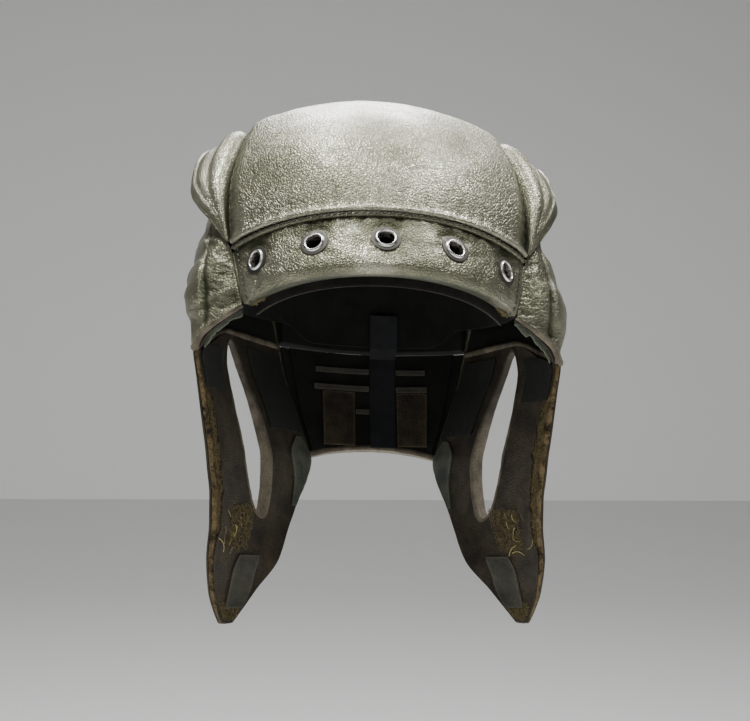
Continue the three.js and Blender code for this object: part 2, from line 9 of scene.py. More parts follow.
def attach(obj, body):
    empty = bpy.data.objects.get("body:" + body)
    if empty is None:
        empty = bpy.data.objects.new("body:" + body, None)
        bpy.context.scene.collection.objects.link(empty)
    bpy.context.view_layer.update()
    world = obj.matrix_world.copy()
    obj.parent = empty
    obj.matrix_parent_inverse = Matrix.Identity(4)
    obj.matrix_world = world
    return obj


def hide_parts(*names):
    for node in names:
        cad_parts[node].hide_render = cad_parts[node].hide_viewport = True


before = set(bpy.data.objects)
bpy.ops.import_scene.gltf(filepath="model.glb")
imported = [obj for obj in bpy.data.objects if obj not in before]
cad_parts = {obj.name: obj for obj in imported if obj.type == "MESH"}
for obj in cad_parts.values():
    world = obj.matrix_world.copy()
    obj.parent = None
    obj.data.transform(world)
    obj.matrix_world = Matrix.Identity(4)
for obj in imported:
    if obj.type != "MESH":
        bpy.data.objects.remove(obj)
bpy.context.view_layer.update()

# The camera stands in front of the helmet, a little to its right and below the brow, at the
# photograph's viewing angle. Three lamps above, a weak one in front and a dim sky light it over a pale
# floor.
CROWN_TOP = 0.1411
camera_data = bpy.data.cameras.new("camera")
camera_data.lens = 101
camera_data.shift_x = 0.0027
camera = bpy.data.objects.new("camera", camera_data)
bpy.context.scene.collection.objects.link(camera)
target = Vector((0, 0, -CROWN_TOP))
turn, rise = math.radians(-4), math.radians(-6)
away = Vector((math.sin(turn) * math.cos(rise), -math.cos(turn) * math.cos(rise), math.sin(rise)))
camera.location = target + 1.2 * away
camera.rotation_euler = away.to_track_quat("Z", "Y").to_euler()
bpy.context.scene.camera = camera

for name, place, size, watts in (
    ("lamp_left", (-0.35, -0.2, 1.05), 0.35, 27),
    ("lamp_right", (0.6, -0.05, 0.95), 0.35, 19),
    ("lamp_top", (0.05, 0.8, 0.85), 0.5, 20),
    ("lamp_front", (-0.2, -1.1, 0.6), 0.5, 5),
):
    lamp_data = bpy.data.lights.new(name, "AREA")
    lamp_data.size = size
    lamp_data.energy = watts
    lamp = bpy.data.objects.new(name, lamp_data)
    lamp.location = place
    lamp.rotation_euler = (lamp.location - Vector((0, 0, -0.1))).to_track_quat("Z", "Y").to_euler()
    bpy.context.scene.collection.objects.link(lamp)

world = bpy.data.worlds.new("pale_sky")
world.use_nodes = True
world.node_tree.nodes["Background"].inputs["Color"].default_value = (1, 1, 1, 1)
world.node_tree.nodes["Background"].inputs["Strength"].default_value = 0.12
bpy.context.scene.world = world

floor_mesh = bpy.data.meshes.new("floor")
FLOOR = -0.47
floor_rows = [(-4, -3, FLOOR), (4, -3, FLOOR), (4, 1.6, FLOOR), (-4, 1.6, FLOOR)]
floor_rows += [(4, 2.6, FLOOR + 0.35), (-4, 2.6, FLOOR + 0.35), (4, 3.1, 3.5), (-4, 3.1, 3.5)]
floor_mesh.from_pydata(floor_rows, [], [(0, 1, 2, 3), (3, 2, 4, 5), (5, 4, 6, 7)])
floor = bpy.data.objects.new("floor", floor_mesh)
bpy.context.scene.collection.objects.link(floor)
floor_paint = bpy.data.materials.new("pale_floor")
floor_paint.use_nodes = True
floor_paint.node_tree.nodes["Principled BSDF"].inputs["Base Color"].default_value = (0.86, 0.86, 0.85, 1)
floor_paint.node_tree.nodes["Principled BSDF"].inputs["Roughness"].default_value = 0.9
floor_mesh.materials.append(floor_paint)

# Crown panel: the padded middle of the crown, one domed piece of pebbled silver-grey leather
# over wadding, drawn down into a crease along each side roll.
HEART = np.array((0.0, 0.0, 40.0))
LEAN = 0.036
TWIST = 5
HEAD_HALF_WIDTH = 84
HEAD_HALF_LENGTH = 97
HEAD_HEIGHT = 144
GAP = 0.35
LINING_INSET = 0.9
LINING_BACK = 2.9


def table(columns, rows):
    return {name: np.array(values, float) for name, values in zip(columns.split(), zip(*rows))}


def along(values, at):
    """Smooth value at a place counted in rows, without overshoot."""
    last = len(values) - 1
    place = np.clip(at, 0, last)
    i = np.minimum(place.astype(int), last - 1)
    rise = np.diff(values)
    before = np.concatenate((rise[:1], rise))
    after = np.concatenate((rise, rise[-1:]))
    same = before * after > 0
    slope = np.where(same, 2 * before * after / np.where(same, before + after, 1), 0)
    t = place - i
    bend = t * (1 - t)
    return values[i] + rise[i] * t * t * (3 - 2 * t) + bend * ((1 - t) * slope[i] - t * slope[i + 1])


def halved(low, high, is_before):
    """Narrows a range down to the place up to which a test holds."""
    for _ in range(30):
        middle = (low + high) / 2
        before = is_before(middle)
        low = np.where(before, middle, low)
        high = np.where(before, high, middle)
    return low, high


def place_of(values, value):
    """The row place where a rising or falling column has a given value."""
    sign = 1 if values[-1] > values[0] else -1
    first = np.zeros(np.shape(value))
    low, high = halved(first, first + len(values) - 1,
                       lambda middle: sign * along(values, middle) < sign * value)
    return (low + high) / 2


def smooth(value, low, high):
    t = np.clip((value - low) / (high - low), 0, 1)
    return t * t * (3 - 2 * t)


def unit(vectors):
    return vectors / np.maximum(np.linalg.norm(vectors, axis=-1, keepdims=True), 1e-9)


def hoop(rows, place, across, lift=0):
    """A point on the arc from one edge (-1) over the middle (0) to the other edge (1)."""
    mid_y, mid_z = along(rows["midY"], place), along(rows["midZ"], place)
    edge = np.stack([along(rows[name], place) for name in ("edgeX", "edgeY", "edgeZ")], -1)
    edge = edge + unit(edge - HEART) * np.asarray(lift)[..., None]
    drop = np.hypot(edge[..., 1] - mid_y, edge[..., 2] - mid_z)
    bend = 2 * np.arctan2(drop, edge[..., 0])
    part = (1 - np.cos(bend * across)) / (1 - np.cos(bend))
    return np.stack((
        edge[..., 0] * np.sin(bend * across) / np.sin(bend),
        mid_y + (edge[..., 1] - mid_y) * part,
        mid_z + (edge[..., 2] - mid_z) * part), -1)


def on_head(points, inset, start=HEART):
    """The head form that the padding is quilted to: an ovoid that grows squarer towards the top."""

    def is_inside(middle):
        x, y, z = np.moveaxis(start + (points - start) * middle[..., None], -1, 0)
        power = 2 + 1.5 * smooth(z, 60, 120)
        length = np.hypot(y / (HEAD_HALF_LENGTH - inset), z / (HEAD_HEIGHT - inset))
        return length ** power + np.abs(x / (HEAD_HALF_WIDTH - inset)) ** power < 1

    nearest = np.zeros(points.shape[:-1])
    low = halved(nearest, nearest + 1.3, is_inside)[0]
    return start + (points - start) * low[..., None]


def face_out(points, centre=HEART):
    """Unit normals of a grid of points, turned away from a centre."""
    down, across = np.gradient(points, axis=(0, 1))
    normals = unit(np.cross(across, down))
    outward = np.sum(normals * (points - centre), -1, keepdims=True)
    return normals * np.where(outward < 0, -1, 1)


def rough(points, size, seed=0, octaves=4, stretch=(1, 1, 1)):
    """Smooth random height from about -1 to 1 whose lumps are size millimetres across."""
    scaled = points.reshape(-1, 3) / (np.array(stretch) * size) + seed * 17.3
    heights = [noise.fractal(Vector(p), 1.0, 2.0, octaves) for p in scaled]
    return np.array(heights).reshape(points.shape[:-1])


def settled(points, side=1):
    """From the pattern's millimetres to the worn helmet's metres: it leans and its nape is twisted."""
    x, y, z = np.moveaxis(points * np.array((side, 1, 1)), -1, 0)
    return np.stack((
        x + TWIST * smooth(y, 0, 90),
        y,
        z - LEAN * x * smooth(z, -150, -10) - 1000 * CROWN_TOP), -1) / 1000


def piece(name, points, faces, marks=None, sharp=50):
    """A mesh object in the row frame, with its marks kept as attributes of its points."""
    mesh = bpy.data.meshes.new(name)
    mesh.from_pydata(points.reshape(-1, 3).tolist(), [], faces)
    for mark, values in (marks or {}).items():
        layer = mesh.attributes.new(mark, "FLOAT", "POINT")
        layer.data.foreach_set("value", np.asarray(values, np.float32).ravel())
    mesh.polygons.foreach_set("use_smooth", [True] * len(mesh.polygons))
    mesh.set_sharp_from_angle(angle=math.radians(sharp))
    made = bpy.data.objects.new(name, mesh)
    bpy.context.scene.collection.objects.link(made)
    return made


def quads_of(at):
    """The faces of a grid of point numbers."""
    return np.stack((at[:-1, :-1], at[:-1, 1:], at[1:, 1:], at[1:, :-1]), -1).reshape(-1, 4)


def shell(name, outer, inner, side=1, at=None, skip=None, sharp=50, finishes=(), edge=0, **marks):
    """A wall between an outer and an inner grid of points, closed round every border. A second
    finish is for the inner face; edge says which of the two the borders have."""
    rows, columns = outer.shape[:2]
    if at is None:
        at = np.arange(rows * columns).reshape(rows, columns)
    quads = quads_of(at)
    if skip is not None:
        quads = quads[~skip.reshape(-1)]
    count = rows * columns
    starts = quads.reshape(-1)
    ends = np.roll(quads, -1, axis=1).reshape(-1)
    border = ~np.isin(starts * count + ends, ends * count + starts)
    a, b = starts[border], ends[border]
    rim = np.stack((b, a, a + count, b + count), -1)
    faces = np.concatenate((quads, quads[:, ::-1] + count, rim))
    points = np.concatenate((outer.reshape(-1, 3), inner.reshape(-1, 3)))
    first = quads[len(quads) // 2]
    corner = points[first]
    facing = np.cross(corner[1] - corner[0], corner[2] - corner[0])
    if np.dot(facing, corner[0] - points[first[0] + count]) * side < 0:
        faces = faces[:, ::-1]
    used = np.unique(faces)
    renumber = np.zeros(2 * count, int)
    renumber[used] = np.arange(len(used))
    both = {mark: np.concatenate((values.ravel(), values.ravel()))[used] for mark, values in marks.items()}
    made = piece(name, settled(points[used], side), renumber[faces].tolist(), both, sharp)
    for finish in finishes:
        made.data.materials.append(finish)
    if len(finishes) == 2:
        inside = np.zeros(len(faces), np.int32)
        inside[len(quads):2 * len(quads)] = 1
        inside[2 * len(quads):] = edge
        made.data.polygons.foreach_set("material_index", inside)
    return made


def dress(made, slot, *nodes):
    """The piece moves with the helmet and stands for its plain nodes; the slot is not used."""
    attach(made, "root")
    if nodes:
        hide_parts(*nodes)
    return made


def node_maker(tree, family):
    """A short call that adds a node of a family to a tree, sets it and joins its inputs."""
    def node(kind, inputs=None, **settings):
        new = tree.nodes.new(family + kind)
        for setting, value in settings.items():
            setattr(new, setting, value)
        for socket, value in (inputs or {}).items():
            if isinstance(value, bpy.types.NodeSocket):
                tree.links.new(value, new.inputs[socket])
            else:
                new.inputs[socket].default_value = value
        return new

    return node


def made_of(name, colour, roughness=0.5, **sockets):
    """A new node material; returns it with short calls that add and join its nodes."""
    material = bpy.data.materials.new(name)
    material.use_nodes = True
    links = material.node_tree.links
    finish = material.node_tree.nodes["Principled BSDF"]
    finish.inputs["Base Color"].default_value = (*colour, 1)
    finish.inputs["Roughness"].default_value = roughness
    for socket, value in sockets.items():
        finish.inputs[socket.replace("_", " ")].default_value = value

    node = node_maker(material.node_tree, "ShaderNode")

    def ramp(value, *stops):
        new = node("ValToRGB", {"Fac": value})
        points = new.color_ramp.elements
        while len(points) < len(stops):
            points.new(0.5)
        for point, (place, tone) in zip(points, stops):
            point.position = place
            point.color = (tone, tone, tone, 1) if isinstance(tone, (int, float)) else (*tone, 1)
        return new.outputs["Color"]

    def mix(share, a, b, blend="MIX"):
        new = node("Mix", data_type="RGBA", blend_type=blend)
        for socket, value in ((0, share), (6, a), (7, b)):
            if isinstance(value, bpy.types.NodeSocket):
                links.new(value, new.inputs[socket])
            elif socket:
                new.inputs[socket].default_value = (*value, 1)
            else:
                new.inputs[socket].default_value = value
        return new.outputs[2]

    def math_of(operation, a, b=0.0):
        return node("Math", {0: a, 1: b}, operation=operation).outputs[0]

    return material, finish, links, node, ramp, mix, math_of


def silver_leather(name):
    """Pebbled leather with a worn silver-grey finish: olive in the folds, pale on the ridges, partly from
    wear and grime and partly as painted shade in the folds and painted highlight on the ridges.
    """
    material, finish, links, node, ramp, mix, math_of = made_of(
        name, (0.4, 0.39, 0.32), 0.35, Metallic=0.84, Coat_Weight=0.1, Coat_Roughness=0.22)
    place = node("TexCoord").outputs["Object"]
    wobble = node("TexNoise", {"Vector": place, "Scale": 330.0, "Detail": 2.0})
    shifted = node("MixRGB", {"Fac": 0.0016, "Color1": place, "Color2": wobble.outputs["Color"]},
                   blend_type="ADD").outputs[0]
    pebbles = node("TexVoronoi", {"Vector": shifted, "Scale": 600.0, "Randomness": 1.0},
                   feature="DISTANCE_TO_EDGE").outputs["Distance"]
    cells = ramp(pebbles, (0.0, 0.0), (0.1, 0.65), (0.4, 1.0))
    patches = node("TexNoise", {"Vector": place, "Scale": 20.0, "Detail": 6.0, "Roughness": 0.55})
    fine = node("TexNoise", {"Vector": place, "Scale": 240.0, "Detail": 5.0, "Roughness": 0.7})
    crackle = node("TexVoronoi", {"Vector": shifted, "Scale": 120.0}, feature="DISTANCE_TO_EDGE")
    lines = ramp(crackle.outputs["Distance"], (0.0, 0.0), (0.03, 1.0))
    fold = node("Attribute", attribute_name="fold").outputs["Fac"]
    mottle = math_of("MULTIPLY", math_of("SUBTRACT", patches.outputs["Fac"], 0.5), 0.8)
    height = math_of("ADD", fold, mottle)
    # The fold mark runs the colour from dark olive to pale: painted shade in hollows, creases and under
    # parts, painted highlight on ridges, mixed with real wear.
    dark, mid, pale = (0.035, 0.038, 0.019), (0.2, 0.194, 0.135), (0.5, 0.485, 0.385)
    colour = ramp(height, (0.0, dark), (0.5, mid), (1.0, pale))
    colour = mix(ramp(fine.outputs["Fac"], (0.3, 0.25), (0.6, 0.0)), colour, tuple(0.4 * c for c in mid))
    colour = mix(math_of("MULTIPLY", math_of("SUBTRACT", 1.0, cells), 0.3), colour, dark)
    colour = mix(math_of("MULTIPLY", math_of("SUBTRACT", 1.0, lines), 0.25), colour, dark)
    links.new(colour, finish.inputs["Base Color"])
    gloss = ramp(height, (0.0, 0.52), (0.55, 0.33), (1.0, 0.25))
    links.new(mix(0.15, gloss, fine.outputs["Color"]), finish.inputs["Roughness"])
    bumps = math_of("ADD", math_of("MULTIPLY", cells, 0.7), math_of("MULTIPLY", lines, 0.35))
    bumps = math_of("ADD", bumps, math_of("MULTIPLY", fine.outputs["Fac"], 0.4))
    bump = node("Bump", {"Height": bumps, "Strength": 0.55, "Distance": 0.0007})
    links.new(bump.outputs["Normal"], finish.inputs["Normal"])
    return material


def cloth(name, dark, light, thread, roughness=0.92):
    """Plain woven cloth: crossing threads, faded in patches and fuzzy."""
    material, finish, links, node, ramp, mix, math_of = made_of(name, dark, roughness, Sheen_Weight=0.02,
                                                                Specular_IOR_Level=0.25)
    place = node("TexCoord").outputs["Object"]
    bands = [node("TexWave", {"Vector": place, "Scale": 0.31 / thread, "Distortion": 2.5, "Detail": 2.0,
                              "Detail Scale": 2.0}, bands_direction=way).outputs["Fac"] for way in "XZ"]
    weave = math_of("MAXIMUM", *bands)
    fuzz = node("TexNoise", {"Vector": place, "Scale": 900.0, "Detail": 3.0}).outputs["Fac"]
    patches = node("TexNoise", {"Vector": place, "Scale": 55.0, "Detail": 6.0, "Roughness": 0.65})
    worn = node("Attribute", attribute_name="worn").outputs["Fac"]
    share = math_of("ADD", patches.outputs["Fac"], math_of("MULTIPLY", worn, 0.45))
    colour = ramp(share, (0.32, dark), (0.72, light))
    shade = math_of("ADD", math_of("MULTIPLY", math_of("SUBTRACT", 1.0, weave), 0.22),
                    math_of("MULTIPLY", fuzz, 0.4))
    links.new(mix(shade, colour, tuple(0.3 * c for c in dark)), finish.inputs["Base Color"])
    bumps = math_of("ADD", math_of("MULTIPLY", weave, 0.5), fuzz)
    bump = node("Bump", {"Height": bumps, "Strength": 0.6, "Distance": 0.0004})
    links.new(bump.outputs["Normal"], finish.inputs["Normal"])
    return material


leather = silver_leather("silver_leather")
# The lining cloth's near-black colour is partly its own dark colour and partly painted shade inside the
# helmet.
dark_cloth = cloth("dark_lining_cloth", (0.002, 0.0025, 0.0016), (0.011, 0.013, 0.008), 0.0007)
CROWN = table("midY midZ edgeX edgeY edgeZ crease", (
    (-90.3, 72.4, 81.2, -47.2, 57.4, 1.5),
    (-84, 88, 82.5, -43, 73, 2.5),
    (-70, 111, 82, -36, 90, 3.5),
    (-48, 132, 78.5, -26, 107, 4),
    (-15, 147, 72.5, -10, 125, 4),
    (20, 148.5, 70, 18, 129, 4),
    (50, 136, 70, 42, 115, 4),
    (77, 103, 72, 64, 92, 3.5),
    (95, 66, 67, 76, 62, 2),
    (102, 35, 61, 78.5, 36, 1),
    (103, 14, 58.2, 79.8, 15, 0.5)))


def crown_at(across, place):
    crease = along(CROWN["crease"], place)
    points = hoop(CROWN, place, across, crease)
    fall = smooth(np.abs(across), 0.84, 1) ** 1.6
    return points - unit(points - HEART) * (crease * fall)[..., None]


def grid(a_from, a_to, a_count, b_from, b_to, b_count):
    """Two arrays, one row for each b and one column for each a."""
    return np.meshgrid(np.linspace(a_from, a_to, a_count), np.linspace(b_from, b_to, b_count))


across, place = grid(-1, 1, 171, 0, 10, 181)
crown = crown_at(across, place)
seam = np.exp(-place / 0.34)
side_seam = smooth(np.abs(across), 0.9, 1)
pucker = np.sin(across * 71 + 2.2 * rough(crown, 26, 3)) * seam * 0.28
side_pucker = np.sin(place * 17 + 2.6 * rough(crown, 22, 4)) * side_seam * 0.22
swell = 0.8 * rough(crown, 44, 1, 3) + 0.22 * rough(crown, 11, 2, 3) * (0.35 + seam)
height = pucker + side_pucker + swell + 1.2 * np.exp(-place / 0.08)
crown = crown + face_out(crown) * height[..., None]
# Colour mark: darker along the side creases and at the brow seam, which is painted shade; lighter on swells
# and darker in dips, partly painted highlight and shade, partly wear.
fold = np.clip(0.6 + 0.25 * height - 0.35 * side_seam - 0.05 * seam, 0, 1)
made = shell("crown_leather", crown, on_head(crown, -GAP), finishes=(leather, dark_cloth), edge=1, fold=fold)
dress(made, "leather", "crown_panel")

# Side rolls: two stuffed rolls beside the crown, whose thick turned lip stands out over the side
# panel, with a shallow dip just inside the lip and a groove along the top.
ROLL = table("lipX lipY lipZ seatX seatY seatZ swell dip dipAt", (
    (86.2, -44.4, 60.6, 84.8, -43.6, 57.6, 1.6, 0, 0.5),
    (92, -41, 70, 88, -39, 67.8, 4, 0.5, 0.5),
    (98.5, -31, 81, 90.3, -28, 76.3, 6.5, 2, 0.5),
    (103, -17, 93, 92.3, -14, 80.5, 6.5, 3.5, 0.5),
    (102, -2, 106, 93.5, 2, 82.5, 5.5, 3.2, 0.5),
    (97.3, 12.2, 116.2, 93, 22, 84, 6, 3.2, 0.54),
    (91, 28, 122, 88, 42, 81.5, 6, 3, 0.55),
    (84, 52, 106, 79.5, 59, 73, 5, 1.5, 0.55),
    (72.6, 72.6, 66.4, 71, 71.6, 62.8, 1.6, 0, 0.5)))


def roll_grid(sections=161, steps=61):
    """Closed sections of the roll: over the top, round the lip, under it and back along the head."""
    place = np.linspace(0, 8, sections)
    column = {name: along(values, place)[:, None] for name, values in ROLL.items()}
    edge = [along(CROWN[name], place) for name in ("edgeX", "edgeY", "edgeZ")]
    back = np.where(edge[1] < 0, -1, 1)
    crease = np.stack((edge[0] + 0.7, edge[1] - 0.7 * back, edge[2] - 0.2), -1)
    lip = np.concatenate([column[name] for name in ("lipX", "lipY", "lipZ")], 1)
    seat = np.concatenate([column[name] for name in ("seatX", "seatY", "seatZ")], 1)
    chord = lip - crease
    length = np.linalg.norm(chord, axis=1, keepdims=True)
    up = (crease + lip) / 2 - HEART
    up = unit(up - chord * np.sum(up * chord, 1, keepdims=True) / length ** 2)
    w = np.linspace(0, 1, steps)
    swell = column["swell"] * np.abs(np.sin(np.pi * w ** 0.58)) ** 0.8
    near_dip = np.exp(-(((w - column["dipAt"] - 0.06) / 0.13) ** 2))
    dip = column["dip"] * near_dip * np.sin(np.pi * w) ** 0.3 * 0.8
    to_lip = (1 - w) * length
    rim = 1.1 * np.exp(-((to_lip - 1.3) / 1.3) ** 2) - 0.25 * np.exp(-((to_lip - 4.2) / 1.4) ** 2)
    rise = swell - dip + rim * smooth(length, 6, 16)
    outer = crease[:, None] + chord[:, None] * w[:, None] + up[:, None] * rise[..., None]
    drop = np.minimum(1, length / 25) * 5
    under = lip + np.concatenate((-0.2 * drop, 0 * drop, -drop), 1)
    round_lip = []
    for angle in np.linspace(0, 180, 9)[1:-1]:
        turned = math.radians(angle)
        middle = (lip + under) / 2
        out = unit(chord) * (0.42 * drop)
        round_lip.append(middle + (lip - middle) * math.cos(turned) + out * math.sin(turned))
    below = [under + (seat - under) * t + np.array((0, 0, 1)) * drop * math.sin(math.pi * t) * 0.25
             for t in (0, 0.25, 0.5, 0.75, 1)]
    seat_in = on_head(seat, -GAP, seat * np.array((0, 1, 1)))
    crease_in = on_head(crease, -GAP)
    inner = [on_head(crease_in * (1 - t) + seat_in * t, -GAP) for t in (0.8, 0.6, 0.4, 0.2)]
    rest = np.stack((*round_lip, *below, seat_in, *inner, crease_in), 1)
    lifts = np.concatenate((rise, np.zeros(rest.shape[:2])), 1)
    return np.concatenate((outer, rest), 1), lifts


def closed_loft(name, loops, finish, side=1, marks=None):
    """A body through closed loops of points, with a cap at each end."""
    rows, size = loops.shape[:2]
    at = np.arange(rows * size).reshape(rows, size)
    after = np.roll(at, -1, axis=1)
    quads = np.stack((at[:-1], after[:-1], after[1:], at[1:]), -1).reshape(-1, 4)
    ends = np.stack((loops[0].mean(0), loops[-1].mean(0)))
    points = np.concatenate((loops.reshape(-1, 3), ends))
    caps = [(rows * size, int(after[0, c]), int(at[0, c])) for c in range(size)]
    caps += [(rows * size + 1, int(at[-1, c]), int(after[-1, c])) for c in range(size)]
    faces = quads.tolist() + [list(cap) for cap in caps]
    volume = 0.0
    for face in faces:
        a = points[face[0]]
        for b, c in zip(face[1:-1], face[2:]):
            volume += np.dot(a, np.cross(points[b], points[c]))
    if volume * side < 0:
        faces = [face[::-1] for face in faces]
    padded = {mark: np.concatenate((values.ravel(), (0.5, 0.5))) for mark, values in (marks or {}).items()}
    made = piece(name, settled(points, side), faces, padded, 60)
    made.data.materials.append(finish)
    return made


for side, label, seed in ((1, "left", 11), (-1, "right", 23)):
    loops, lifts = roll_grid()
    shown = np.zeros(loops.shape[:2])
    shown[:, :66] = 1
    normals = face_out(loops, loops.mean(1, keepdims=True))
    ends = np.minimum(1, np.minimum(np.arange(161), np.arange(160, -1, -1)) / 10)[:, None]
    waves = 0.4 * rough(loops, 26, seed, 2) + 0.12 * rough(loops, 10, seed + 1, 2)
    height = waves * shown * ends
    loops = loops + normals * height[..., None]
    # Colour mark: lighter on the raised hump, which is painted highlight; darker in the crease at the crown
    # edge and much darker under the lip and on the hidden inner faces, which is painted shade.
    tone = np.clip(0.42 + 0.05 * lifts + 0.35 * height, 0, 1)
    tone[:, :5] *= 0.75
    tone[:, 68:] *= 0.4
    made = closed_loft(f"side_roll_{label}", loops, leather, side, {"fold": tone})
    dress(made, "leather", f"side_pad_{label}")

# Brow band: a thick padded strip of the same leather round the brow, turned under at its lower
# edge, quilted down round five metal eyelets so that it dimples and wrinkles there.
BAND = table("midY midZ edgeX edgeY edgeZ", (
    (-100.5, 34, 71.5, -55.5, 21),
    (-104, 34.6, 73.6, -57.2, 21.8),
    (-106.3, 40, 75.6, -57.6, 27),
    (-101.5, 51.5, 77.8, -54.8, 37),
    (-95.4, 61.5, 79.6, -50.8, 46),
    (-91.4, 68.2, 80.4, -48.6, 52.2)))
EYELET_STEP = 0.405
EYELET_ROW = 3.3
BORE = 5.8
across, place = grid(-0.992, 0.992, 251, 0, 5, 85)
band = hoop(BAND, place, across)
facing = face_out(band)
spots = np.arange(-2, 3) * EYELET_STEP
eyelets = hoop(BAND, np.full(5, EYELET_ROW), spots)
height = 0.6 * rough(band, 24, 31, 3) + 0.2 * rough(band, 7, 32, 3, (1, 1, 0.7))
bore = np.zeros(band.shape[:2], bool)
for number, centre in enumerate(eyelets):
    gap = band - centre
    reach = np.linalg.norm(gap, axis=-1)
    sideways = np.hypot(gap[..., 0], gap[..., 1]) * np.sign(gap[..., 0] - 1e-3 * gap[..., 2])
    turned = np.arctan2(gap[..., 2] * 1.15, sideways)
    radial = np.cos(turned * 7 + number * 1.9 + 1.5 * rough(band, 14, 40 + number, 2))
    height = height * smooth(reach, 6.5, 16) - 1.7 * np.exp(-(reach / 10.5) ** 2)
    height = height + 0.22 * radial * np.exp(-((reach - 12) / 5.5) ** 2)
    above = np.exp(-((reach - 9.5) / 2.2) ** 2) * smooth(np.sin(turned), 0.2, 0.95)
    height = height - 0.7 * above
    bore |= reach < BORE
top_seam = np.exp(-(5 - place) / 0.5)
height = height + np.sin(across * 64 + 2.4 * rough(band, 20, 33, 2)) * top_seam * 0.3 - 0.5 * top_seam
height = height * smooth(place, 0.2, 1.2)
band = band + facing * height[..., None]
quad_bore = (bore[:-1, :-1].astype(int) + bore[1:, :-1] + bore[:-1, 1:] + bore[1:, 1:]) >= 2
# Random mottle, darker towards the top of the band.
mottle_darker_near_top = 0.3 * rough(band, 30, 34, 2) - 0.22 * smooth(place, 3.2, 4.6)
# Colour mark: darker on the turned-under lower edge and along the top seam, which is painted shade; lighter
# on lumps and darker in the eyelet dimples, partly painted highlight and shade.
fold = 0.52 + 0.2 * height + mottle_darker_near_top - 0.5 * smooth(-place, -1.6, -0.3) - 0.2 * top_seam
fold = np.clip(fold, 0, 1)
made = shell("brow_band_leather", band, on_head(band, -GAP), skip=quad_bore, finishes=(leather,),
             fold=fold)
dress(made, "leather", "brow_band")

# Side panels: wrinkled leather that hangs from under each roll, bulges over the top of the ear
# flap, and is turned in along a frayed lower hem.
SIDE = table("topX topY topZ hemX hemY hemZ bulge face", (
    (81.2, -46.2, 52.5, 75.2, -56, 22, 0.8, -55),
    (86.5, -39, 65.6, 86.5, -54, 14.6, 3.8, -50),
    (90, -27.5, 74.2, 98, -46.5, 6, 7, -30),
    (92, -14, 78.4, 102.3, -39.7, -1.4, 8.3, -12),
    (93.2, 2, 80.4, 96, -18, 5.2, 11, 0),
    (92.5, 24, 81.8, 84, 14, 13.3, 10.5, 20),
    (84, 50, 74.5, 71.4, 46, 13.4, 6.5, 40),
    (67.9, 74.2, 60.2, 60, 77.4, 13.4, 0.3, 55)))
SIDE_AT = np.array((0, 0.3, 0.62, 0.85, 1))
SIDE_OUT = np.array((0, 0.6, 1, 0.4, 0))


def side_at(station, down):
    column = {name: along(values, station) for name, values in SIDE.items()}
    top = np.stack([column[name] for name in ("topX", "topY", "topZ")], -1)
    hem = np.stack([column[name] for name in ("hemX", "hemY", "hemZ")], -1)
    face = np.radians(column["face"])
    out = column["bulge"] * along(SIDE_OUT, place_of(SIDE_AT, down))
    push = np.stack((np.cos(face) * out, np.sin(face) * out, 0 * out), -1)
    return top + (hem - top) * down[..., None] + push


for side, label, seed in ((1, "left", 51), (-1, "right", 67)):
    station, down = grid(0, 7, 181, 0, 1, 91)
    panel = side_at(station, down)
    normals = face_out(panel)
    slack = smooth(down, 0.02, 0.2) * smooth(-down, -1, -0.9) * smooth(station, 0, 0.3)
    near_band = smooth(-station, -2.6, -1.2)
    folds = 1 - 2 * np.abs(rough(panel, 30, seed, 2, (1, 1, 0.55)))
    small = 1 - 2 * np.abs(rough(panel, 8, seed + 1, 2, (1, 1, 0.6)))
    height = slack * (1.3 * folds + 0.3 * small * (0.3 + near_band)) - 1.2 * slack
    crease_at = 1.85 + 0.22 * np.sin(down * 5 + 1)
    height = height - 2.0 * slack * np.exp(-((station - crease_at) / 0.16) ** 2)
    outer = panel + normals * height[..., None]
    inner = panel - normals * (3.2 + 0 * height[..., None])
    # Colour mark: darker in the hollows of the wrinkles and lighter on their crests, partly painted shade and
    # highlight; also darker near the band.
    fold = np.clip(0.7 + 0.22 * height - 0.3 * near_band, 0, 1)
    made = shell(f"side_leather_{label}", outer, inner, side, finishes=(leather, dark_cloth), edge=1,
                 fold=fold)
    dress(made, "leather", f"side_panel_{label}")

# Brow seam: the crown's lower edge is folded over a cord, which stands up as a thin ridge, and
# sewn down along the band with thick dark thread that lies in a groove.
SEAM_REACH = 0.985
TUBE_SIDES = 12


def tube(name, line, radius, finish, side=1, flatten=1.0, **marks):
    """A round cord along a line of points, closed at both ends, with one mark for each point."""
    tangent = unit(np.gradient(line, axis=0))
    up = unit(line - HEART)
    up = unit(up - tangent * np.sum(up * tangent, 1, keepdims=True))
    beside = np.cross(tangent, up)
    angle = np.linspace(0, 2 * np.pi, TUBE_SIDES, endpoint=False)
    radius = np.broadcast_to(radius, len(line))[:, None, None]
    loops = line[:, None] + radius * (up[:, None] * np.cos(angle)[:, None]
                                      + beside[:, None] * (np.sin(angle) * flatten)[:, None])
    spread = {mark: np.broadcast_to(np.reshape(values, (-1, 1)), loops.shape[:2])
              for mark, values in marks.items()}
    return closed_loft(name, loops, finish, side, spread)


def seam_line(count, share, lift):
    across = np.linspace(-SEAM_REACH, SEAM_REACH, count)
    above = crown_at(across[None], np.zeros((1, count)))[0]
    below = hoop(BAND, np.full(count, 5.0), across)
    line = above + (below - above) * share
    return line + unit(line - HEART) * lift


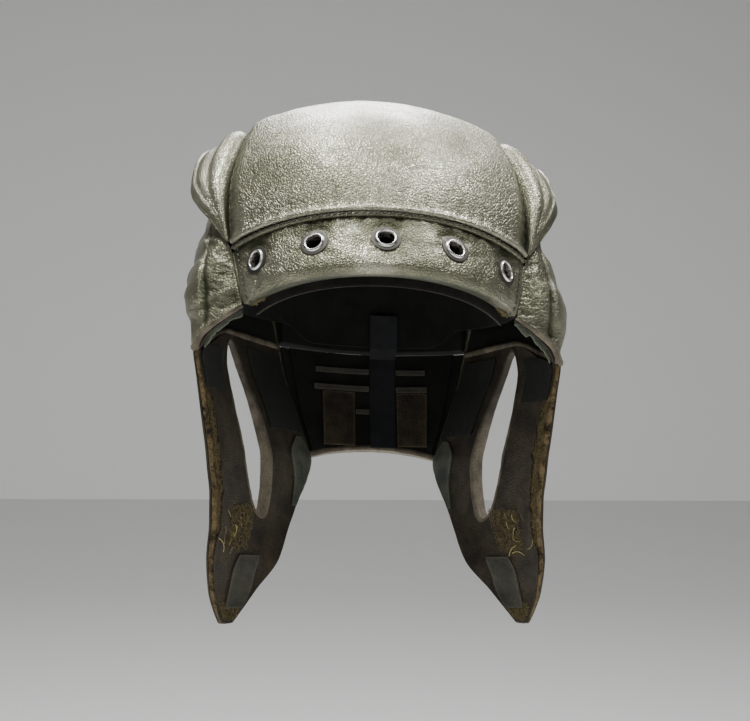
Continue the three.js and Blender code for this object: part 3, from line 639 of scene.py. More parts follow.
def new_tree(name, entry, result, inputs):
    """An empty tree with its named inputs, and the calls that fill and close it."""
    tree = bpy.data.node_groups.new(name, "GeometryNodeTree")
    tree.interface.new_socket(entry, in_out="INPUT", socket_type="NodeSocketGeometry")
    for label, kind, value in inputs:
        socket = tree.interface.new_socket(label, in_out="INPUT", socket_type="NodeSocket" + kind)
        socket.default_value = value
    tree.interface.new_socket("Thread", in_out="INPUT", socket_type="NodeSocketMaterial")
    tree.interface.new_socket(result, in_out="OUTPUT", socket_type="NodeSocketGeometry")
    given = tree.nodes.new("NodeGroupInput").outputs

    def finish_with(placed):
        real = geometry("RealizeInstances", {"Geometry": placed.outputs["Instances"]})
        coloured = geometry("SetMaterial", {"Geometry": real.outputs["Geometry"],
                                            "Material": given["Thread"]})
        node_maker(tree, "Node")("GroupOutput", {result: coloured.outputs["Geometry"]})
        return tree

    geometry = node_maker(tree, "GeometryNode")
    return given, geometry, node_maker(tree, "FunctionNode"), node_maker(tree, "ShaderNode"), finish_with


def stitch_tree():
    """Stitches along a line: each is a short thread that lies flat and a little across it."""
    given, geometry, function, value_of, finish_with = new_tree("stitches", "Line", "Stitches", (
        ("Spacing", "Float", 0.004), ("Length", "Float", 0.003), ("Thickness", "Float", 0.0008),
        ("Slant", "Float", 0.3)))
    line = geometry("MeshToCurve", {"Mesh": given["Line"]})
    spaced = geometry("ResampleCurve", {"Curve": line.outputs["Curve"], "Length": given["Spacing"]},
                      mode="LENGTH")
    thread = geometry("MeshUVSphere", {"Segments": 8, "Rings": 5, "Radius": 0.5})
    out = geometry("InputNamedAttribute", {"Name": "out"}, data_type="FLOAT_VECTOR")
    tangent = geometry("InputTangent")
    facing = function("AxesToRotation", {"Primary Axis": out.outputs["Attribute"],
                                         "Secondary Axis": tangent.outputs["Tangent"]},
                      primary_axis="Z", secondary_axis="X")
    slant = value_of("CombineXYZ", {"Z": given["Slant"]})
    slanted = function("RotateRotation", {"Rotation": facing.outputs["Rotation"],
                                          "Rotate By": slant.outputs["Vector"]}, rotation_space="LOCAL")
    size = value_of("CombineXYZ", {"X": given["Length"], "Y": given["Thickness"], "Z": given["Thickness"]})
    return finish_with(geometry("InstanceOnPoints", {
        "Points": spaced.outputs["Curve"], "Instance": thread.outputs["Mesh"],
        "Rotation": slanted.outputs["Rotation"], "Scale": size.outputs["Vector"]}))


def grown(name, source, tree, **values):
    """Runs a tree on a source object and keeps the result as a plain mesh object."""
    modifier = source.modifiers.new("tree", "NODES")
    modifier.node_group = tree
    for item in tree.interface.items_tree:
        if item.in_out == "INPUT" and item.name in values:
            modifier[item.identifier] = values[item.name]
    seen = bpy.context.evaluated_depsgraph_get()
    mesh = bpy.data.meshes.new_from_object(source.evaluated_get(seen))
    mesh.name = name
    mesh.polygons.foreach_set("use_smooth", [True] * len(mesh.polygons))
    result = bpy.data.objects.new(name, mesh)
    bpy.context.scene.collection.objects.link(result)
    bpy.data.objects.remove(source)
    return result


def sewn(name, line, thread, spacing, length, thickness, slant, side=1):
    """Stitches along a line of points in the pattern's millimetres, which lie flat on the head."""
    normals = unit(line - HEART) * np.array((side, 1, 1))
    mesh = bpy.data.meshes.new(name + "_line")
    mesh.from_pydata(settled(line, side).tolist(), [(i, i + 1) for i in range(len(line) - 1)], [])
    layer = mesh.attributes.new("out", "FLOAT_VECTOR", "POINT")
    layer.data.foreach_set("vector", normals.astype(np.float32).ravel())
    source = bpy.data.objects.new(name + "_line", mesh)
    bpy.context.scene.collection.objects.link(source)
    made = grown(name, source, stitches, Spacing=spacing, Length=length, Thickness=thickness,
                 Slant=slant, Thread=thread)
    dress(made, "leather")


stitches = stitch_tree()
thread_dark, finish, links, node, ramp, mix, math_of = made_of("dark_thread", (0.03, 0.028, 0.02), 0.6)
place_on = node("TexCoord").outputs["Object"]
# Lighter diagonal stripes along each stitch are painted highlights on the thread's twist.
twist_highlights = node("TexWave", {"Vector": place_on, "Scale": 900.0}, bands_direction="DIAGONAL")
links.new(ramp(twist_highlights.outputs["Fac"], (0.2, (0.01, 0.009, 0.006)), (0.9, (0.06, 0.055, 0.035))),
          finish.inputs["Base Color"])

line = seam_line(300, 0.2, 0.5)
swell = 0.16 * rough(line[None], 9, 81, 2)[0] + 1.75
made = tube("brow_seam_ridge", line, swell, leather, fold=0.72)
dress(made, "leather", "brow_piping")
line = seam_line(300, 0.85, -0.35)
made = tube("brow_seam_fold", line, 1.5 + 0.15 * rough(line[None], 6, 82, 2)[0], leather, fold=0.4)
dress(made, "leather")
line = seam_line(300, 0.85, 0.95)
sewn("brow_seam_stitches", line, thread_dark, 0.0038, 0.0036, 0.0013, 0.45)

for side, label in ((1, "left"), (-1, "right")):
    upright = np.linspace(0.5, 4.7, 60)
    line = hoop(BAND, upright, np.full(60, 0.945))
    line = line + unit(line - HEART) * 0.5
    sewn(f"band_end_stitches_{label}", line, thread_dark, 0.0034, 0.0026, 0.0009, 0.3, side)
    drop = np.linspace(0.06, 0.97, 60)
    line = (hoop(BAND, 5 * (1 - drop), np.full(60, 0.99)) + side_at(0 * drop, drop)) / 2
    made = tube(f"band_end_seam_{label}", line - unit(line - HEART) * 0.9,
                1.5 + 0.2 * rough(line[None], 6, 83, 2)[0], leather, side, fold=0.3)
    dress(made, "leather")

# Eyelets: five nickel-plated brass eyelets through the band, each a rolled tube that is clenched
# down on a flat washer.
nickel, finish, links, node, ramp, mix, math_of = made_of(
    "nickel_plate", (0.62, 0.61, 0.58), 0.24, Metallic=1.0)
place_on = node("TexCoord").outputs["Object"]
wear = node("TexNoise", {"Vector": place_on, "Scale": 420.0, "Detail": 5.0}).outputs["Fac"]
tube_or_washer = node("Attribute", attribute_name="washer").outputs["Fac"]
colour = mix(ramp(wear, (0.42, 0.0), (0.75, 0.5)), (0.66, 0.65, 0.62), (0.3, 0.27, 0.22))
links.new(mix(tube_or_washer, colour, (0.075, 0.07, 0.062)), finish.inputs["Base Color"])
links.new(ramp(math_of("ADD", math_of("MULTIPLY", tube_or_washer, 0.5), wear), (0.3, 0.16), (1.0, 0.62)),
          finish.inputs["Roughness"])
EYELET = table("radius height washer", (
    (4.4, -3.6, 0), (4.4, 0.9, 0), (4.5, 1.3, 0), (4.75, 1.55, 0), (5.05, 1.62, 0), (5.4, 1.5, 0),
    (5.7, 1.2, 0), (5.9, 0.85, 0.2), (6.1, 0.55, 1), (7.7, 0.5, 1), (7.95, 0.4, 1), (8.0, 0.2, 1),
    (7.95, 0, 1), (4.95, 0, 1), (4.9, -3.6, 0)))


def ring_body(name, loops, finish, side=1, marks=None, sharp=60):
    """A body through loops of points that closes on itself both ways."""
    at = np.arange(loops.shape[0] * loops.shape[1]).reshape(loops.shape[:2])
    after = np.roll(at, -1, axis=1)
    below_at, below_after = np.roll(at, -1, axis=0), np.roll(after, -1, axis=0)
    faces = np.stack((at, after, below_after, below_at), -1).reshape(-1, 4)
    made = piece(name, settled(loops, side), faces.tolist(), marks, sharp)
    made.data.materials.append(finish)
    turned_out = bmesh.new()
    turned_out.from_mesh(made.data)
    bmesh.ops.recalc_face_normals(turned_out, faces=turned_out.faces)
    turned_out.to_mesh(made.data)
    turned_out.free()
    return made


for number, across_at in enumerate(spots):
    around = np.array((-0.004, 0.004))
    a_step = np.diff(hoop(BAND, np.full(2, EYELET_ROW), across_at + around), axis=0)[0]
    b_step = np.diff(hoop(BAND, EYELET_ROW + around, np.full(2, across_at)), axis=0)[0]
    facing = unit(np.cross(a_step, b_step))
    facing = facing if facing[1] < 0 else -facing
    sideways = unit(a_step)
    upright = np.cross(facing, sideways)
    angle = np.linspace(0, 2 * np.pi, 48, endpoint=False)
    ring = np.cos(angle)[:, None] * sideways + np.sin(angle)[:, None] * upright
    centre = eyelets[number] - 1.25 * facing
    loops = centre + EYELET["radius"][:, None, None] * ring + (EYELET["height"][:, None] * facing)[:, None]
    washer = np.repeat(EYELET["washer"], len(angle))
    made = ring_body(f"eyelet_ring_{number + 1}", loops, nickel, 1, {"washer": washer}, 40)
    dress(made, "nickel", f"eyelet_{number + 1}")

# Ear flaps: each is a long pointed leather flap, stuffed with matted fibre and lined with brown
# leather, with an almond opening over the ear. The lining has worn away along the front edge.
FLAP = table("z frontX frontY rearX rearY bow", (
    (15, 101.5, -37.5, 60.4, 79, 1),
    (-1, 102, -40, 57, 78.2, 1),
    (-18, 100, -39, 52, 76.5, 0.5),
    (-45, 96.5, -38, 44.6, 73, 0),
    (-54, 95.2, -37, 42, 71.4, 0),
    (-66, 94, -36, 44.5, 62, 0.5),
    (-80, 92.6, -34, 49.3, 47, 1.5),
    (-94, 92.6, -31.5, 53, 32, 2.5),
    (-113, 94, -28, 57.7, 12, 4),
    (-130, 93, -20, 70, 0, 3),
    (-141, 90.2, -14.5, 77, -6.5, 1.5),
    (-149, 87, -11, 82.5, -9, 0.3)))
FLAP_TIP = -149
RIM_WIDTH = 2.6
LEATHER_EDGE = RIM_WIDTH - 0.2
FLAP_LAYERS = (0, 1.8, 2.15, 4.75, 5.1, 6.3)
FLAP_FACE = 6.65


def flap_at(back, z, deep=0.0):
    """A place on the flap, from its front edge (0) to its rear edge (1), some way below its face."""
    place = place_of(FLAP["z"], z)
    column = {name: along(values, place) for name, values in FLAP.items()}
    front = np.stack((column["frontX"], column["frontY"], z + 0 * back), -1)
    rear = np.stack((column["rearX"], column["rearY"], z + 0 * back), -1)
    run = unit(rear - front)
    deep = deep * (1 - 0.4 * smooth(z, -50, 0))
    bow = column["bow"] * 4 * back * (1 - back) - deep
    push = np.stack((run[..., 1] * bow, -run[..., 0] * bow, 0 * bow), -1)
    return front + (rear - front) * back[..., None] + push


def flap_back(y, z):
    place = place_of(FLAP["z"], z)
    front = along(FLAP["frontY"], place)
    return (y - front) / (along(FLAP["rearY"], place) - front)


EAR_MIDDLE = (11.5, -39.4)
EAR_REACH = (14.5, 48.6)


def ear_half(fall):
    return np.sqrt(np.sin(np.pi * np.clip(fall, 0, 1)))


def opening_half(z, margin):
    """Half the width of the ear opening at a height, grown by a margin; 0 where it is closed."""
    high = EAR_REACH[1] + margin
    fall = (EAR_MIDDLE[1] + high - z) / (2 * high)
    within = (fall > 0) & (fall < 1)
    return np.where(within, (EAR_REACH[0] + margin) * ear_half(fall), 0)


def flap_grid(margin, from_front=None, rows=131, front_steps=28, rear_steps=44):
    """Back and height of each point of a flap, split round its opening, and its point numbers."""
    v = np.linspace(0, 1, rows)[:, None]
    steps = np.concatenate((np.linspace(0, 1, front_steps), np.linspace(0, 1, rear_steps)))[None]
    is_rear = np.arange(steps.shape[1])[None] >= front_steps
    back = np.broadcast_to(np.where(is_rear, 0.4 + 0.6 * steps, 0.4 * steps), (rows, steps.shape[1]))
    for _ in range(4):
        top = -2 + 14.6 * smooth(back, 0, 0.4)
        ragged = 0.9 * np.abs(np.sin(9 * back + 2.5)) + 0.8 * np.abs(np.sin(23 * back + margin))
        z = top + (FLAP_TIP + ragged - top) * v
        half = opening_half(z, margin)
        first = np.zeros_like(z) if from_front is None else from_front(z)
        ahead = flap_back(EAR_MIDDLE[0] - half, z)
        behind = flap_back(EAR_MIDDLE[0] + half, z)
        low = smooth(-z, 93, 124)
        ahead = ahead + (0.5 - ahead) * low
        behind = behind + (0.5 - behind) * low
        back = np.where(is_rear, behind + (1 - behind) * steps, first + (ahead - first) * steps)
    at = np.arange(back.size).reshape(back.shape)
    closed = opening_half(z[:, front_steps - 1], margin) <= 0
    at[closed, front_steps] = at[closed, front_steps - 1]
    skip = np.zeros((rows - 1, back.shape[1] - 1), bool)
    skip[:, front_steps - 1] = True
    return back, z, at, skip


def hide(name, dark, light, size, roughness=0.75, shine=0.06):
    """Old bare leather: mottled, cracked, and rubbed pale in places; on some pieces the worn mark also
    carries painted shade.
    """
    material, finish, links, node, ramp, mix, math_of = made_of(name, dark, roughness, Coat_Weight=shine,
                                                                Coat_Roughness=0.4, Specular_IOR_Level=0.3)
    place = node("TexCoord").outputs["Object"]
    patches = node("TexNoise", {"Vector": place, "Scale": 60.0, "Detail": 8.0, "Roughness": 0.68})
    grains = node("TexVoronoi", {"Vector": place, "Scale": 1.0 / size}, feature="DISTANCE_TO_EDGE")
    cells = ramp(grains.outputs["Distance"], (0.0, 0.0), (0.22, 1.0))
    worn = node("Attribute", attribute_name="worn").outputs["Fac"]
    share = math_of("ADD", patches.outputs["Fac"], math_of("MULTIPLY", worn, 0.35))
    colour = ramp(share, (0.36, dark), (0.8, light))
    cracks = math_of("MULTIPLY", math_of("SUBTRACT", 1.0, cells), 0.5)
    colour = mix(cracks, colour, tuple(0.4 * c for c in dark))
    links.new(colour, finish.inputs["Base Color"])
    bumps = math_of("ADD", math_of("MULTIPLY", cells, 0.5), patches.outputs["Fac"])
    bump = node("Bump", {"Height": bumps, "Strength": 0.6, "Distance": 0.0007})
    links.new(bump.outputs["Normal"], finish.inputs["Normal"])
    return material


def wadding(name, dark, light):
    """Matted fibre: lumpy, with a fine tangle of light and dark."""
    material, finish, links, node, ramp, _, math_of = made_of(name, dark, 1.0, Specular_IOR_Level=0.2)
    place = node("TexCoord").outputs["Object"]
    tangle = node("TexNoise", {"Vector": place, "Scale": 420.0, "Detail": 6.0, "Roughness": 0.75,
                               "Distortion": 1.4})
    lumps = node("TexNoise", {"Vector": place, "Scale": 160.0, "Detail": 3.0})
    share = math_of("ADD", math_of("MULTIPLY", tangle.outputs["Fac"], 0.6),
                    math_of("MULTIPLY", lumps.outputs["Fac"], 0.4))
    links.new(ramp(share, (0.41, dark), (0.57, light)), finish.inputs["Base Color"])
    bump = node("Bump", {"Height": share, "Strength": 1.0, "Distance": 0.0012})
    links.new(bump.outputs["Normal"], finish.inputs["Normal"])
    return material


brown_lining = hide("brown_lining_leather", (0.011, 0.0085, 0.005), (0.075, 0.056, 0.031), 0.0016)
stuffing = wadding("tan_stuffing", (0.01, 0.007, 0.0035), (0.13, 0.095, 0.045))
tan_edge = hide("tan_leather_edge", (0.035, 0.028, 0.018), (0.17, 0.145, 0.1), 0.0011)

for side, label, seed in ((1, "left", 101), (-1, "right", 131)):
    back, z, at, skip = flap_grid(LEATHER_EDGE)
    face = flap_at(back, z)
    out = face_out(face)
    height = (0.5 * rough(face, 26, seed, 3) + 0.25 * rough(face, 9, seed + 1, 2)) * smooth(back, 0.0, 0.05)
    outer = flap_at(back, z, 0.4) + out * np.minimum(height, 0.35)[..., None]
    # Colour mark: lighter on lumps and darker in dips, partly painted highlight and shade.
    fold = np.clip(0.55 + 0.25 * height, 0, 1)
    made = shell(f"flap_leather_{label}", outer, flap_at(back, z, FLAP_LAYERS[1] - 0.1), side, at, skip,
                 finishes=(leather, brown_lining), edge=1, fold=fold)
    dress(made, "leather", f"ear_flap_{label}")

    near = flap_at(back, z, FLAP_LAYERS[2])
    far = flap_at(back, z, FLAP_LAYERS[3])
    lumps = rough(near, 2.8, seed + 2, 3)
    shift = np.stack((0 * lumps, -(0.9 + 1.1 * lumps) * np.exp(-back / 0.03), 0 * lumps), -1)
    deeper = far - face_out(near) * ((0.35 + 0.35 * lumps) * np.exp(-back / 0.09))[..., None]
    made = shell(f"flap_stuffing_{label}", near + shift, deeper + shift, side, at, skip, finishes=(stuffing,))
    dress(made, "stuffing", f"flap_padding_{label}")

    def lining_front(z):
        torn = smooth(z, -112, -95) * smooth(-z, 14, 30)
        ragged = np.array([noise.noise(Vector((seed, 0, value / 5))) for value in z.ravel()])
        return torn * (0.06 + 0.025 * ragged.reshape(z.shape)) + 0.004

    back, z, at, skip = flap_grid(LEATHER_EDGE, lining_front)
    near = flap_at(back, z, FLAP_LAYERS[4])
    far = flap_at(back, z, FLAP_LAYERS[5])
    sag = np.minimum(0.3, 0.3 * rough(near, 16, seed + 3, 3))
    deeper = far + face_out(near) * sag[..., None]
    worn = np.clip(0.25 * np.exp(-(back - back.min(axis=1, keepdims=True)) / 0.012) + 0.3 * sag, 0, 1)
    made = shell(f"flap_lining_hide_{label}", near, deeper, side, at, skip, finishes=(brown_lining,),
                 worn=worn)
    dress(made, "lining_leather", f"flap_lining_{label}")

    angle = np.linspace(0, 2 * np.pi, 120, endpoint=False)
    fall = (1 - np.cos(angle)) / 2
    to_side = np.where(angle < np.pi, 1, -1)
    inner_y = EAR_MIDDLE[0] + to_side * EAR_REACH[0] * ear_half(fall)
    inner_z = EAR_MIDDLE[1] + EAR_REACH[1] * np.cos(angle)
    outer_y = inner_y + to_side * RIM_WIDTH * np.abs(np.sin(angle))
    outer_z = inner_z + RIM_WIDTH * np.cos(angle)
    section = ((1, -0.4), (0.65, -0.55), (0.3, -0.4), (0.08, 0.1), (0, 0.9), (0, 2.2), (0, 3.6), (0, 5.0),
               (0.08, 5.9), (0.3, 6.5), (0.65, 6.75), (1, 6.7))
    loops = []
    for grow, deep in section:
        y = inner_y + (outer_y - inner_y) * grow
        high = inner_z + (outer_z - inner_z) * grow
        loops.append(flap_at(flap_back(y, high), high, deep))
    loops = np.stack(loops, 1)
    outward = unit(loops - loops.mean(1, keepdims=True))
    loops = loops + 0.22 * rough(loops, 5, seed + 4, 2)[..., None] * outward
    # Colour mark: rubbed lighter at random, and darker towards the top of the opening, which is painted
    # shade.
    shaded = smooth(loops[..., 2], -60, 5)
    worn = np.clip(0.6 + 0.5 * rough(loops, 7, seed + 5, 2) - 1.1 * shaded, -0.6, 1)
    made = ring_body(f"ear_rim_roll_{label}", loops, tan_edge, side, {"worn": worn})
    dress(made, "rim", f"ear_rim_{label}")

# Flap trimmings: cloth patches over the upper corners of each flap, a split-leather gusset at the
# nape corner and the torn end of a tab near the tip, all stuck and sewn on the lining.
FLAP_PATCHES = (
    ("flap_cloth_front", "cloth", ((3, 0.14, 0.3), (-1, 0.05, 0.28), (-6, 0.02, 0.26), (-14, 0.015, 0.25),
                                   (-22, 0.015, 0.245))),
    ("flap_cloth_rear", "cloth", ((8, 0.6, 0.975), (-8, 0.62, 0.975), (-22, 0.64, 0.975),
                                  (-38, 0.65, 0.975))),
    ("gusset", "green", ((-41, 0.88, 0.94), (-52, 0.79, 0.98), (-66, 0.86, 0.985), (-82, 0.95, 0.985))),
    ("flap_tab", "tape", ((-111, 0.44, 0.73), (-120, 0.39, 0.76), (-130, 0.4, 0.88), (-140, 0.34, 0.94))))
green_hide = hide("green_split_leather", (0.025, 0.03, 0.02), (0.11, 0.12, 0.085), 0.0014)
faded_tape = cloth("faded_tape", (0.022, 0.021, 0.016), (0.075, 0.072, 0.056), 0.0009)
TRIM_FINISH = {"cloth": dark_cloth, "green": green_hide, "tape": faded_tape}

for side, label, seed in ((1, "left", 171), (-1, "right", 191)):
    for name, slot, rows in FLAP_PATCHES:
        edges = table("z start end", rows)
        u, v = grid(0, 1, 41, 0, len(rows) - 1, 41)
        first, last = along(edges["start"], v), along(edges["end"], v)
        z = along(edges["z"], v)
        ragged = 0.6 * np.array([noise.noise(Vector((seed, value, 3))) for value in u[0] * 9])
        z = z + ragged[None] * smooth(v, len(rows) - 1.4, len(rows) - 1)
        back = first + (last - first) * u
        lift = 0.35 * np.abs(rough(flap_at(back, z), 9, seed, 3))
        near = flap_at(back, z, FLAP_FACE - 0.1)
        far = flap_at(back, z, FLAP_FACE + 0.7 + lift)
        rim = np.minimum(np.minimum(u, 1 - u), np.minimum(v, len(rows) - 1 - v))
        worn = np.exp(-rim / 0.05)
        made = shell(f"{name}_piece_{label}", near, far, side, finishes=(TRIM_FINISH[slot],), worn=worn)
        dress(made, slot, f"{name}_{label}")

# Hem of the side panels: the raw lower edge of the leather is rubbed tan, and two ragged layers of
# lining cloth show below its front part, where they were once sewn down over the flap.
old_layer = cloth("faded_brown_cloth", (0.01, 0.008, 0.007), (0.05, 0.043, 0.036), 0.0008)
HEM_LAYERS = (("brown", old_layer, 3.7, 2.2, 2.7), ("green", green_hide, 5.3, 4.6, 2.4))
for side, label, seed in ((1, "left", 301), (-1, "right", 317)):
    stations = np.linspace(0.03, 6.97, 240)
    line = side_at(stations, np.ones(240))
    nearby = side_at(np.stack((stations, stations)), np.stack((0.96 * np.ones(240), np.ones(240))))
    inward = -face_out(nearby)[1]
    swell = 1.75 + 0.3 * rough(line[None], 5, seed, 3)[0] + 0.8 * smooth(stations, 2.3, 2.9)
    worn = np.clip(0.4 + 0.7 * rough(line[None], 9, seed + 1, 2)[0], 0, 1)
    made = tube(f"hem_edge_{label}", line + 1.7 * inward, swell, tan_edge, side, 0.9, worn=worn)
    dress(made, "leather")
    for name, finish_for, inset, hang, last in HEM_LAYERS:
        station, down = grid(0.1, last, 150, 0, 1, 9)
        side_line = side_at(station, 1 + 0 * down)
        drop = hang * (0.75 + 0.5 * rough(side_line * (1, 1, 0), 6, seed + inset, 3))
        turned_in = np.stack([np.interp(station, stations, inward[:, i]) for i in range(3)], -1)
        layer = side_line + turned_in * (inset + 0.8 * down * hang / 4)[..., None]
        layer = layer + np.stack((0 * drop, 0 * drop, 3.5 * (1 - down) - drop * down), -1)
        made = shell(f"hem_layer_{name}_{label}", layer, layer + turned_in * 0.8, side,
                     finishes=(finish_for,), worn=np.exp(-(1 - down) / 0.12))
        dress(made, "cloth")

# Loose fibres: hair of the old glue and wadding stands up from the lining below each ear opening,
# from the torn front edge of the flaps, from their tips and from the corners of the brow band.
def fibre_tree():
    """Short bent threads scattered on a patch, each turned at random."""
    given, geometry, function, value_of, finish_with = new_tree("fibres", "Patch", "Fibres", (
        ("Density", "Float", 100000.0), ("Length", "Float", 0.005), ("Thickness", "Float", 0.0001),
        ("Tilt", "Float", 0.5), ("Seed", "Int", 1)))
    spread = geometry("DistributePointsOnFaces", {"Mesh": given["Patch"], "Density": given["Density"],
                                                  "Seed": given["Seed"]})
    bent = geometry("CurveQuadraticBezier", {"Resolution": 4, "Start": (-0.5, 0, 0),
                                             "Middle": (0, 0.35, 0.25), "End": (0.5, 0, 0.08)})
    slim = value_of("Math", {0: given["Thickness"], 1: given["Length"]}, operation="DIVIDE")
    section = geometry("CurvePrimitiveCircle", {"Resolution": 3, "Radius": slim.outputs["Value"]})
    thread = geometry("CurveToMesh", {"Curve": bent.outputs["Curve"],
                                      "Profile Curve": section.outputs["Curve"], "Fill Caps": True})
    minus = value_of("Math", {0: given["Tilt"], 1: -1.0}, operation="MULTIPLY").outputs["Value"]
    lowest = value_of("CombineXYZ", {"X": minus, "Y": minus, "Z": -math.pi})
    highest = value_of("CombineXYZ", {"X": given["Tilt"], "Y": given["Tilt"], "Z": math.pi})
    turned_by = function("RandomValue", {
        "Min": lowest.outputs["Vector"], "Max": highest.outputs["Vector"], "Seed": given["Seed"]},
        data_type="FLOAT_VECTOR")
    turned = function("RotateRotation", {"Rotation": spread.outputs["Rotation"],
                                         "Rotate By": turned_by.outputs[0]}, rotation_space="LOCAL")
    share = function("RandomValue", {2: 0.45, 3: 1.0, "Seed": given["Seed"]}, data_type="FLOAT")
    size = value_of("Math", {0: share.outputs[1], 1: given["Length"]}, operation="MULTIPLY")
    return finish_with(geometry("InstanceOnPoints", {
        "Points": spread.outputs["Points"], "Instance": thread.outputs["Mesh"],
        "Rotation": turned.outputs["Rotation"], "Scale": size.outputs["Value"]}))


fibres = fibre_tree()


def fuzzy(name, patch, above, thread, density, length, thickness, tilt, seed, side):
    """Fibres on a grid of points, on the side where another grid lies above it; density is in
    fibres a square metre."""
    rows, columns = patch.shape[:2]
    at = np.arange(rows * columns).reshape(rows, columns)
    quads = quads_of(at)
    points = settled(patch, side)
    facing = np.cross(points[0, 1] - points[0, 0], points[1, 0] - points[0, 0])
    if np.dot(facing, settled(above, side)[0, 0] - points[0, 0]) < 0:
        quads = quads[:, ::-1]
    source = piece(name + "_patch", points, quads.tolist())
    made = grown(name, source, fibres, Density=density, Length=length, Thickness=thickness, Tilt=tilt,
                 Seed=seed, Thread=thread)
    dress(made, "stuffing")


hair = made_of("dry_fibre", (0.12, 0.095, 0.038), 0.8)[0]
straw = made_of("straw_fibre", (0.3, 0.25, 0.09), 0.7)[0]
HAIR = 0.00014
# Each patch is a stretch of a flap: from its front edge across, from a height down, and how deep.
PATCHES_OF_HAIR = (
    ("glue_hair", hair, (0.2, 0.52), (-84, -107), 6.5, 900000.0, 0.005, HAIR),
    ("edge_hair", hair, (0.012, 0.06), (-26, -110), 5.4, 1000000.0, 0.0035, HAIR),
    ("tip_hair", hair, (0.1, 0.9), (-137, -146.5), 6.4, 2000000.0, 0.0035, HAIR),
    ("loose_straw", straw, (0.06, 0.45), (-88, -112), 6.8, 13000.0, 0.009, 0.00028))
for side, label, seed in ((1, "left", 401), (-1, "right", 433)):
    for name, thread, (first, last), (top, bottom), deep, density, length, thickness in PATCHES_OF_HAIR:
        back, z = grid(first, last, 21, top, bottom, 31)
        fuzzy(f"{name}_{label}", flap_at(back, z, deep), flap_at(back, z, deep + 1), thread, density, length,
              thickness, 0.5, seed, side)
    share, low = grid(0.86, 0.98, 13, 0, 1, 4)
    corner = hoop(BAND, 0 * share, share)
    corner = corner - unit(corner - HEART) * (0.5 + 3 * low)[..., None]
    fuzzy(f"corner_hair_{label}", corner, corner - (0, 0, 1), hair, 3000000.0, 0.004, HAIR, 0.9,
          seed + 1, side)

# Nape: the neck panel closes the back below the crown. It is leather outside and dark cloth
# inside, bound along the bottom with tan leather, with two leather patches, tapes and a strap.
NECK = table("midY midZ edgeX edgeY edgeZ", (
    (102.6, 12.8, 57.2, 80.4, 13.6),
    (97, -20, 50, 77.6, -22),
    (88.5, -47, 40.4, 73.2, -53.6)))
HEM_SHARE = 3 / 59.8
NECK_END = 1 - HEM_SHARE - 0.006
NECK_LAYERS = (0, 3.0, 3.35, 3.95, 4.75, 5.4)
STRAP_LAYER = 4.5


def neck_at(across, down, deep=0.0):
    points = hoop(NECK, down * 2, across)
    if not np.any(deep):
        return points
    step = 0.004
    a_step = hoop(NECK, down * 2, across + step) - hoop(NECK, down * 2, across - step)
    b_step = hoop(NECK, (down + step) * 2, across) - hoop(NECK, (down - step) * 2, across)
    normals = unit(np.cross(a_step, b_step))
    normals = normals * np.where(np.sum(normals[..., :2] * points[..., :2], -1, keepdims=True) < 0, -1, 1)
    return points - normals * np.broadcast_to(deep, across.shape)[..., None]


across, down = grid(-1, 1, 141, 0, NECK_END, 81)
neck = neck_at(across, down)
height = 0.5 * rough(neck, 28, 211, 3) + 0.3 * rough(neck, 10, 212, 2)
height = np.minimum(height, 0.3) * smooth(np.abs(across) * -1, -1, -0.96)
# Colour mark: lighter on lumps and darker in dips, partly painted highlight and shade.
fold = np.clip(0.55 + 0.3 * height, 0, 1)
made = shell("neck_leather", neck + face_out(neck) * height[..., None], neck_at(across, down, NECK_LAYERS[1]),
             finishes=(leather, dark_cloth), edge=1, fold=fold)
dress(made, "leather", "neck_panel")

across, down = grid(-0.9, 0.9, 121, 0, NECK_END, 71)
near = neck_at(across, down, NECK_LAYERS[2])
billow = 0.3 * np.abs(rough(near, 16, 213, 3))
made = shell("neck_cloth", near, neck_at(across, down, NECK_LAYERS[3] + billow), finishes=(dark_cloth,))
dress(made, "cloth", "neck_lining")

across, down = grid(-0.97, 0.97, 121, 1 - HEM_SHARE, 1, 9)
deep = np.linspace(0, 1, 9)[:, None]
bulge = 0.5 * np.sin(np.pi * deep) + 0 * across
worn = np.clip(0.5 + 0.6 * rough(neck_at(across, down), 6, 214, 2), 0, 1)
made = shell("nape_binding", neck_at(across, down, -0.2 - bulge), neck_at(across, down, 4.15 + bulge),
             finishes=(tan_edge,), worn=worn)
dress(made, "rim", "nape_hem")

INSIDE = (
    ("nape_patch_right", "lining_leather", -32.3, -10.4, -45, -11),
    ("nape_patch_left", "lining_leather", 17, 37.5, -45, -11),
    ("tape_lower_right", "tape", -38.5, -1, -10.4, -7),
    ("tape_lower_left", "tape", 16.6, 37.5, -10.4, -7),
    ("tape_upper_right", "tape", -37, -1, 0.5, 3.6),
    ("tape_upper_left", "tape", 16.6, 36, 0.5, 3.6),
    ("tape_short", "tape", -9.6, -1, -25, -22))


def on_neck(x, z, deep):
    """A place on the inside of the back, from a distance across and a height."""

    def share(down):
        return 0.92 * x / along(NECK["edgeX"], down * 2)

    low = halved(np.zeros(x.shape), np.ones(x.shape),
                 lambda middle: neck_at(share(middle), middle)[..., 2] > z)[0]
    return neck_at(share(low), low, deep)


for name, slot, left, right, bottom, top in INSIDE:
    x, z = grid(left, right, 31, top, bottom, 31 if top - bottom > 10 else 9)
    near = on_neck(x, z, NECK_LAYERS[4])
    far = on_neck(x, z, NECK_LAYERS[5] + 0.25 * np.abs(rough(near, 7, 215, 2)))
    rim = np.minimum(np.minimum(x - left, right - x), np.minimum(z - bottom, top - z))
    finish_for = brown_lining if slot == "lining_leather" else faded_tape
    made = shell(f"{name}_piece", near, far, finishes=(finish_for,), worn=np.exp(-rim / 0.7))
    dress(made, slot, name)

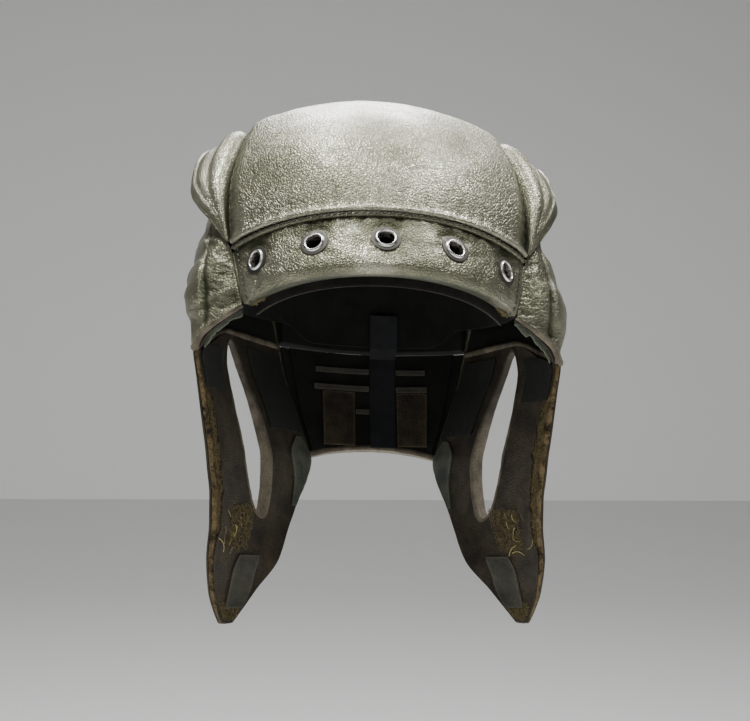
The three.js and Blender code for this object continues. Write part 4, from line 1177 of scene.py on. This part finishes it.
strapping = cloth("dark_strapping", (0.006, 0.0065, 0.008), (0.02, 0.021, 0.025), 0.0011, 0.75)
x, z = grid(-0.4, 16, 25, -46, 10, 57)
x_top, z_top = grid(-0.4, 16, 25, 16.5, 37, 22)
columns = np.abs(np.linspace(-1, 1, 25))
thick = 1.1 - 0.5 * columns ** 6


def strap_at(deep):
    low_part = on_neck(x, z, STRAP_LAYER + deep + 0 * x)
    centre = np.stack((x_top, 0 * x_top, z_top), -1)
    far = np.stack((x_top, 200 + 0 * x_top, z_top), -1)
    top_part = on_head(far, LINING_BACK + 2 + np.broadcast_to(deep, x_top.shape), centre)
    return np.concatenate((low_part, top_part))


made = shell("centre_strap_piece", strap_at(0.0), strap_at(np.broadcast_to(thick, (1, 25))),
             finishes=(strapping,))
dress(made, "strapping", "centre_strap")

# Back seams: on each side one welt of leather closes the joint of the crown with the side panel, and
# runs on down between the nape and the ear flap.
for side, label in ((1, "left"), (-1, "right")):
    down = np.linspace(0.02, 1, 60)
    forward = side_at(np.full(60, 7.0), down)
    edge_rows = np.stack([along(CROWN[name], np.linspace(7.8, 10, 200)) for name in
                          ("edgeX", "edgeY", "edgeZ")], -1)[::-1]
    crown_edge = np.stack([np.interp(forward[:, 2], edge_rows[:, 2], edge_rows[:, i]) for i in range(3)], -1)
    upper = (forward + crown_edge) / 2
    drop = np.linspace(0.02, 0.97, 80)
    nape_edge = neck_at(np.ones(80), drop)
    flap_edge = flap_at(np.ones(80), nape_edge[:, 2])
    lower = (nape_edge + flap_edge) / 2
    line = np.concatenate((upper, lower))
    line = line - unit(line * (1, 1, 0)) * 1.2
    made = tube(f"back_seam_{label}", line, 2.3 + 0.2 * rough(line[None], 8, 231, 2)[0], leather, side,
                fold=0.35)
    dress(made, "leather")

# Crown lining: dark cloth all over the inside of the crown, with a narrow strip of brown leather
# sewn along it behind the brow.
turn, rise = grid(0, 360, 181, 89, 0, 61)
facing = np.cos(np.radians(turn))
rim = 28 + 12 * smooth(facing, 0.2, 0.9) - 10 * smooth(-facing, 0.8, 0.93)


def on_form(turn, z, inset):
    angle = np.radians(turn)
    centre = np.stack((0 * z, 0 * z, z), -1)
    far = np.stack((200 * np.sin(angle), -200 * np.cos(angle), z), -1)
    return on_head(far, inset, centre)


def lining_rings(inset):
    top = HEAD_HEIGHT - inset
    rings = on_form(turn, rim + (top - rim) * np.sin(np.radians(rise)), inset)
    return rings[:, :-1]


rings = np.concatenate((lining_rings(LINING_INSET), lining_rings(LINING_BACK)[::-1]))
made = closed_loft("crown_lining_cloth", rings, dark_cloth)
dress(made, "cloth", "crown_lining")

share, height = grid(-1, 1, 161, 0, 1, 13)
strip_z = 30 - 13 * share ** 2 + 13 * height
near = on_form(54 * share, strip_z, 3.81)
far = on_form(54 * share, strip_z, 5.2 + 0.2 * rough(near, 8, 221, 2))
# The strip's near-black colour is painted shade inside the brow; only its lighter lower edge, set by the worn
# mark, shows the brown leather.
brow_hide = hide("dark_brow_leather", (0.0015, 0.0012, 0.001), (0.025, 0.021, 0.015), 0.0014, 0.95, 0.0)
made = shell("brow_lining_strip", near, far, finishes=(brow_hide,), worn=np.exp(-height / 0.06))
dress(made, "lining_leather", "sweatband")
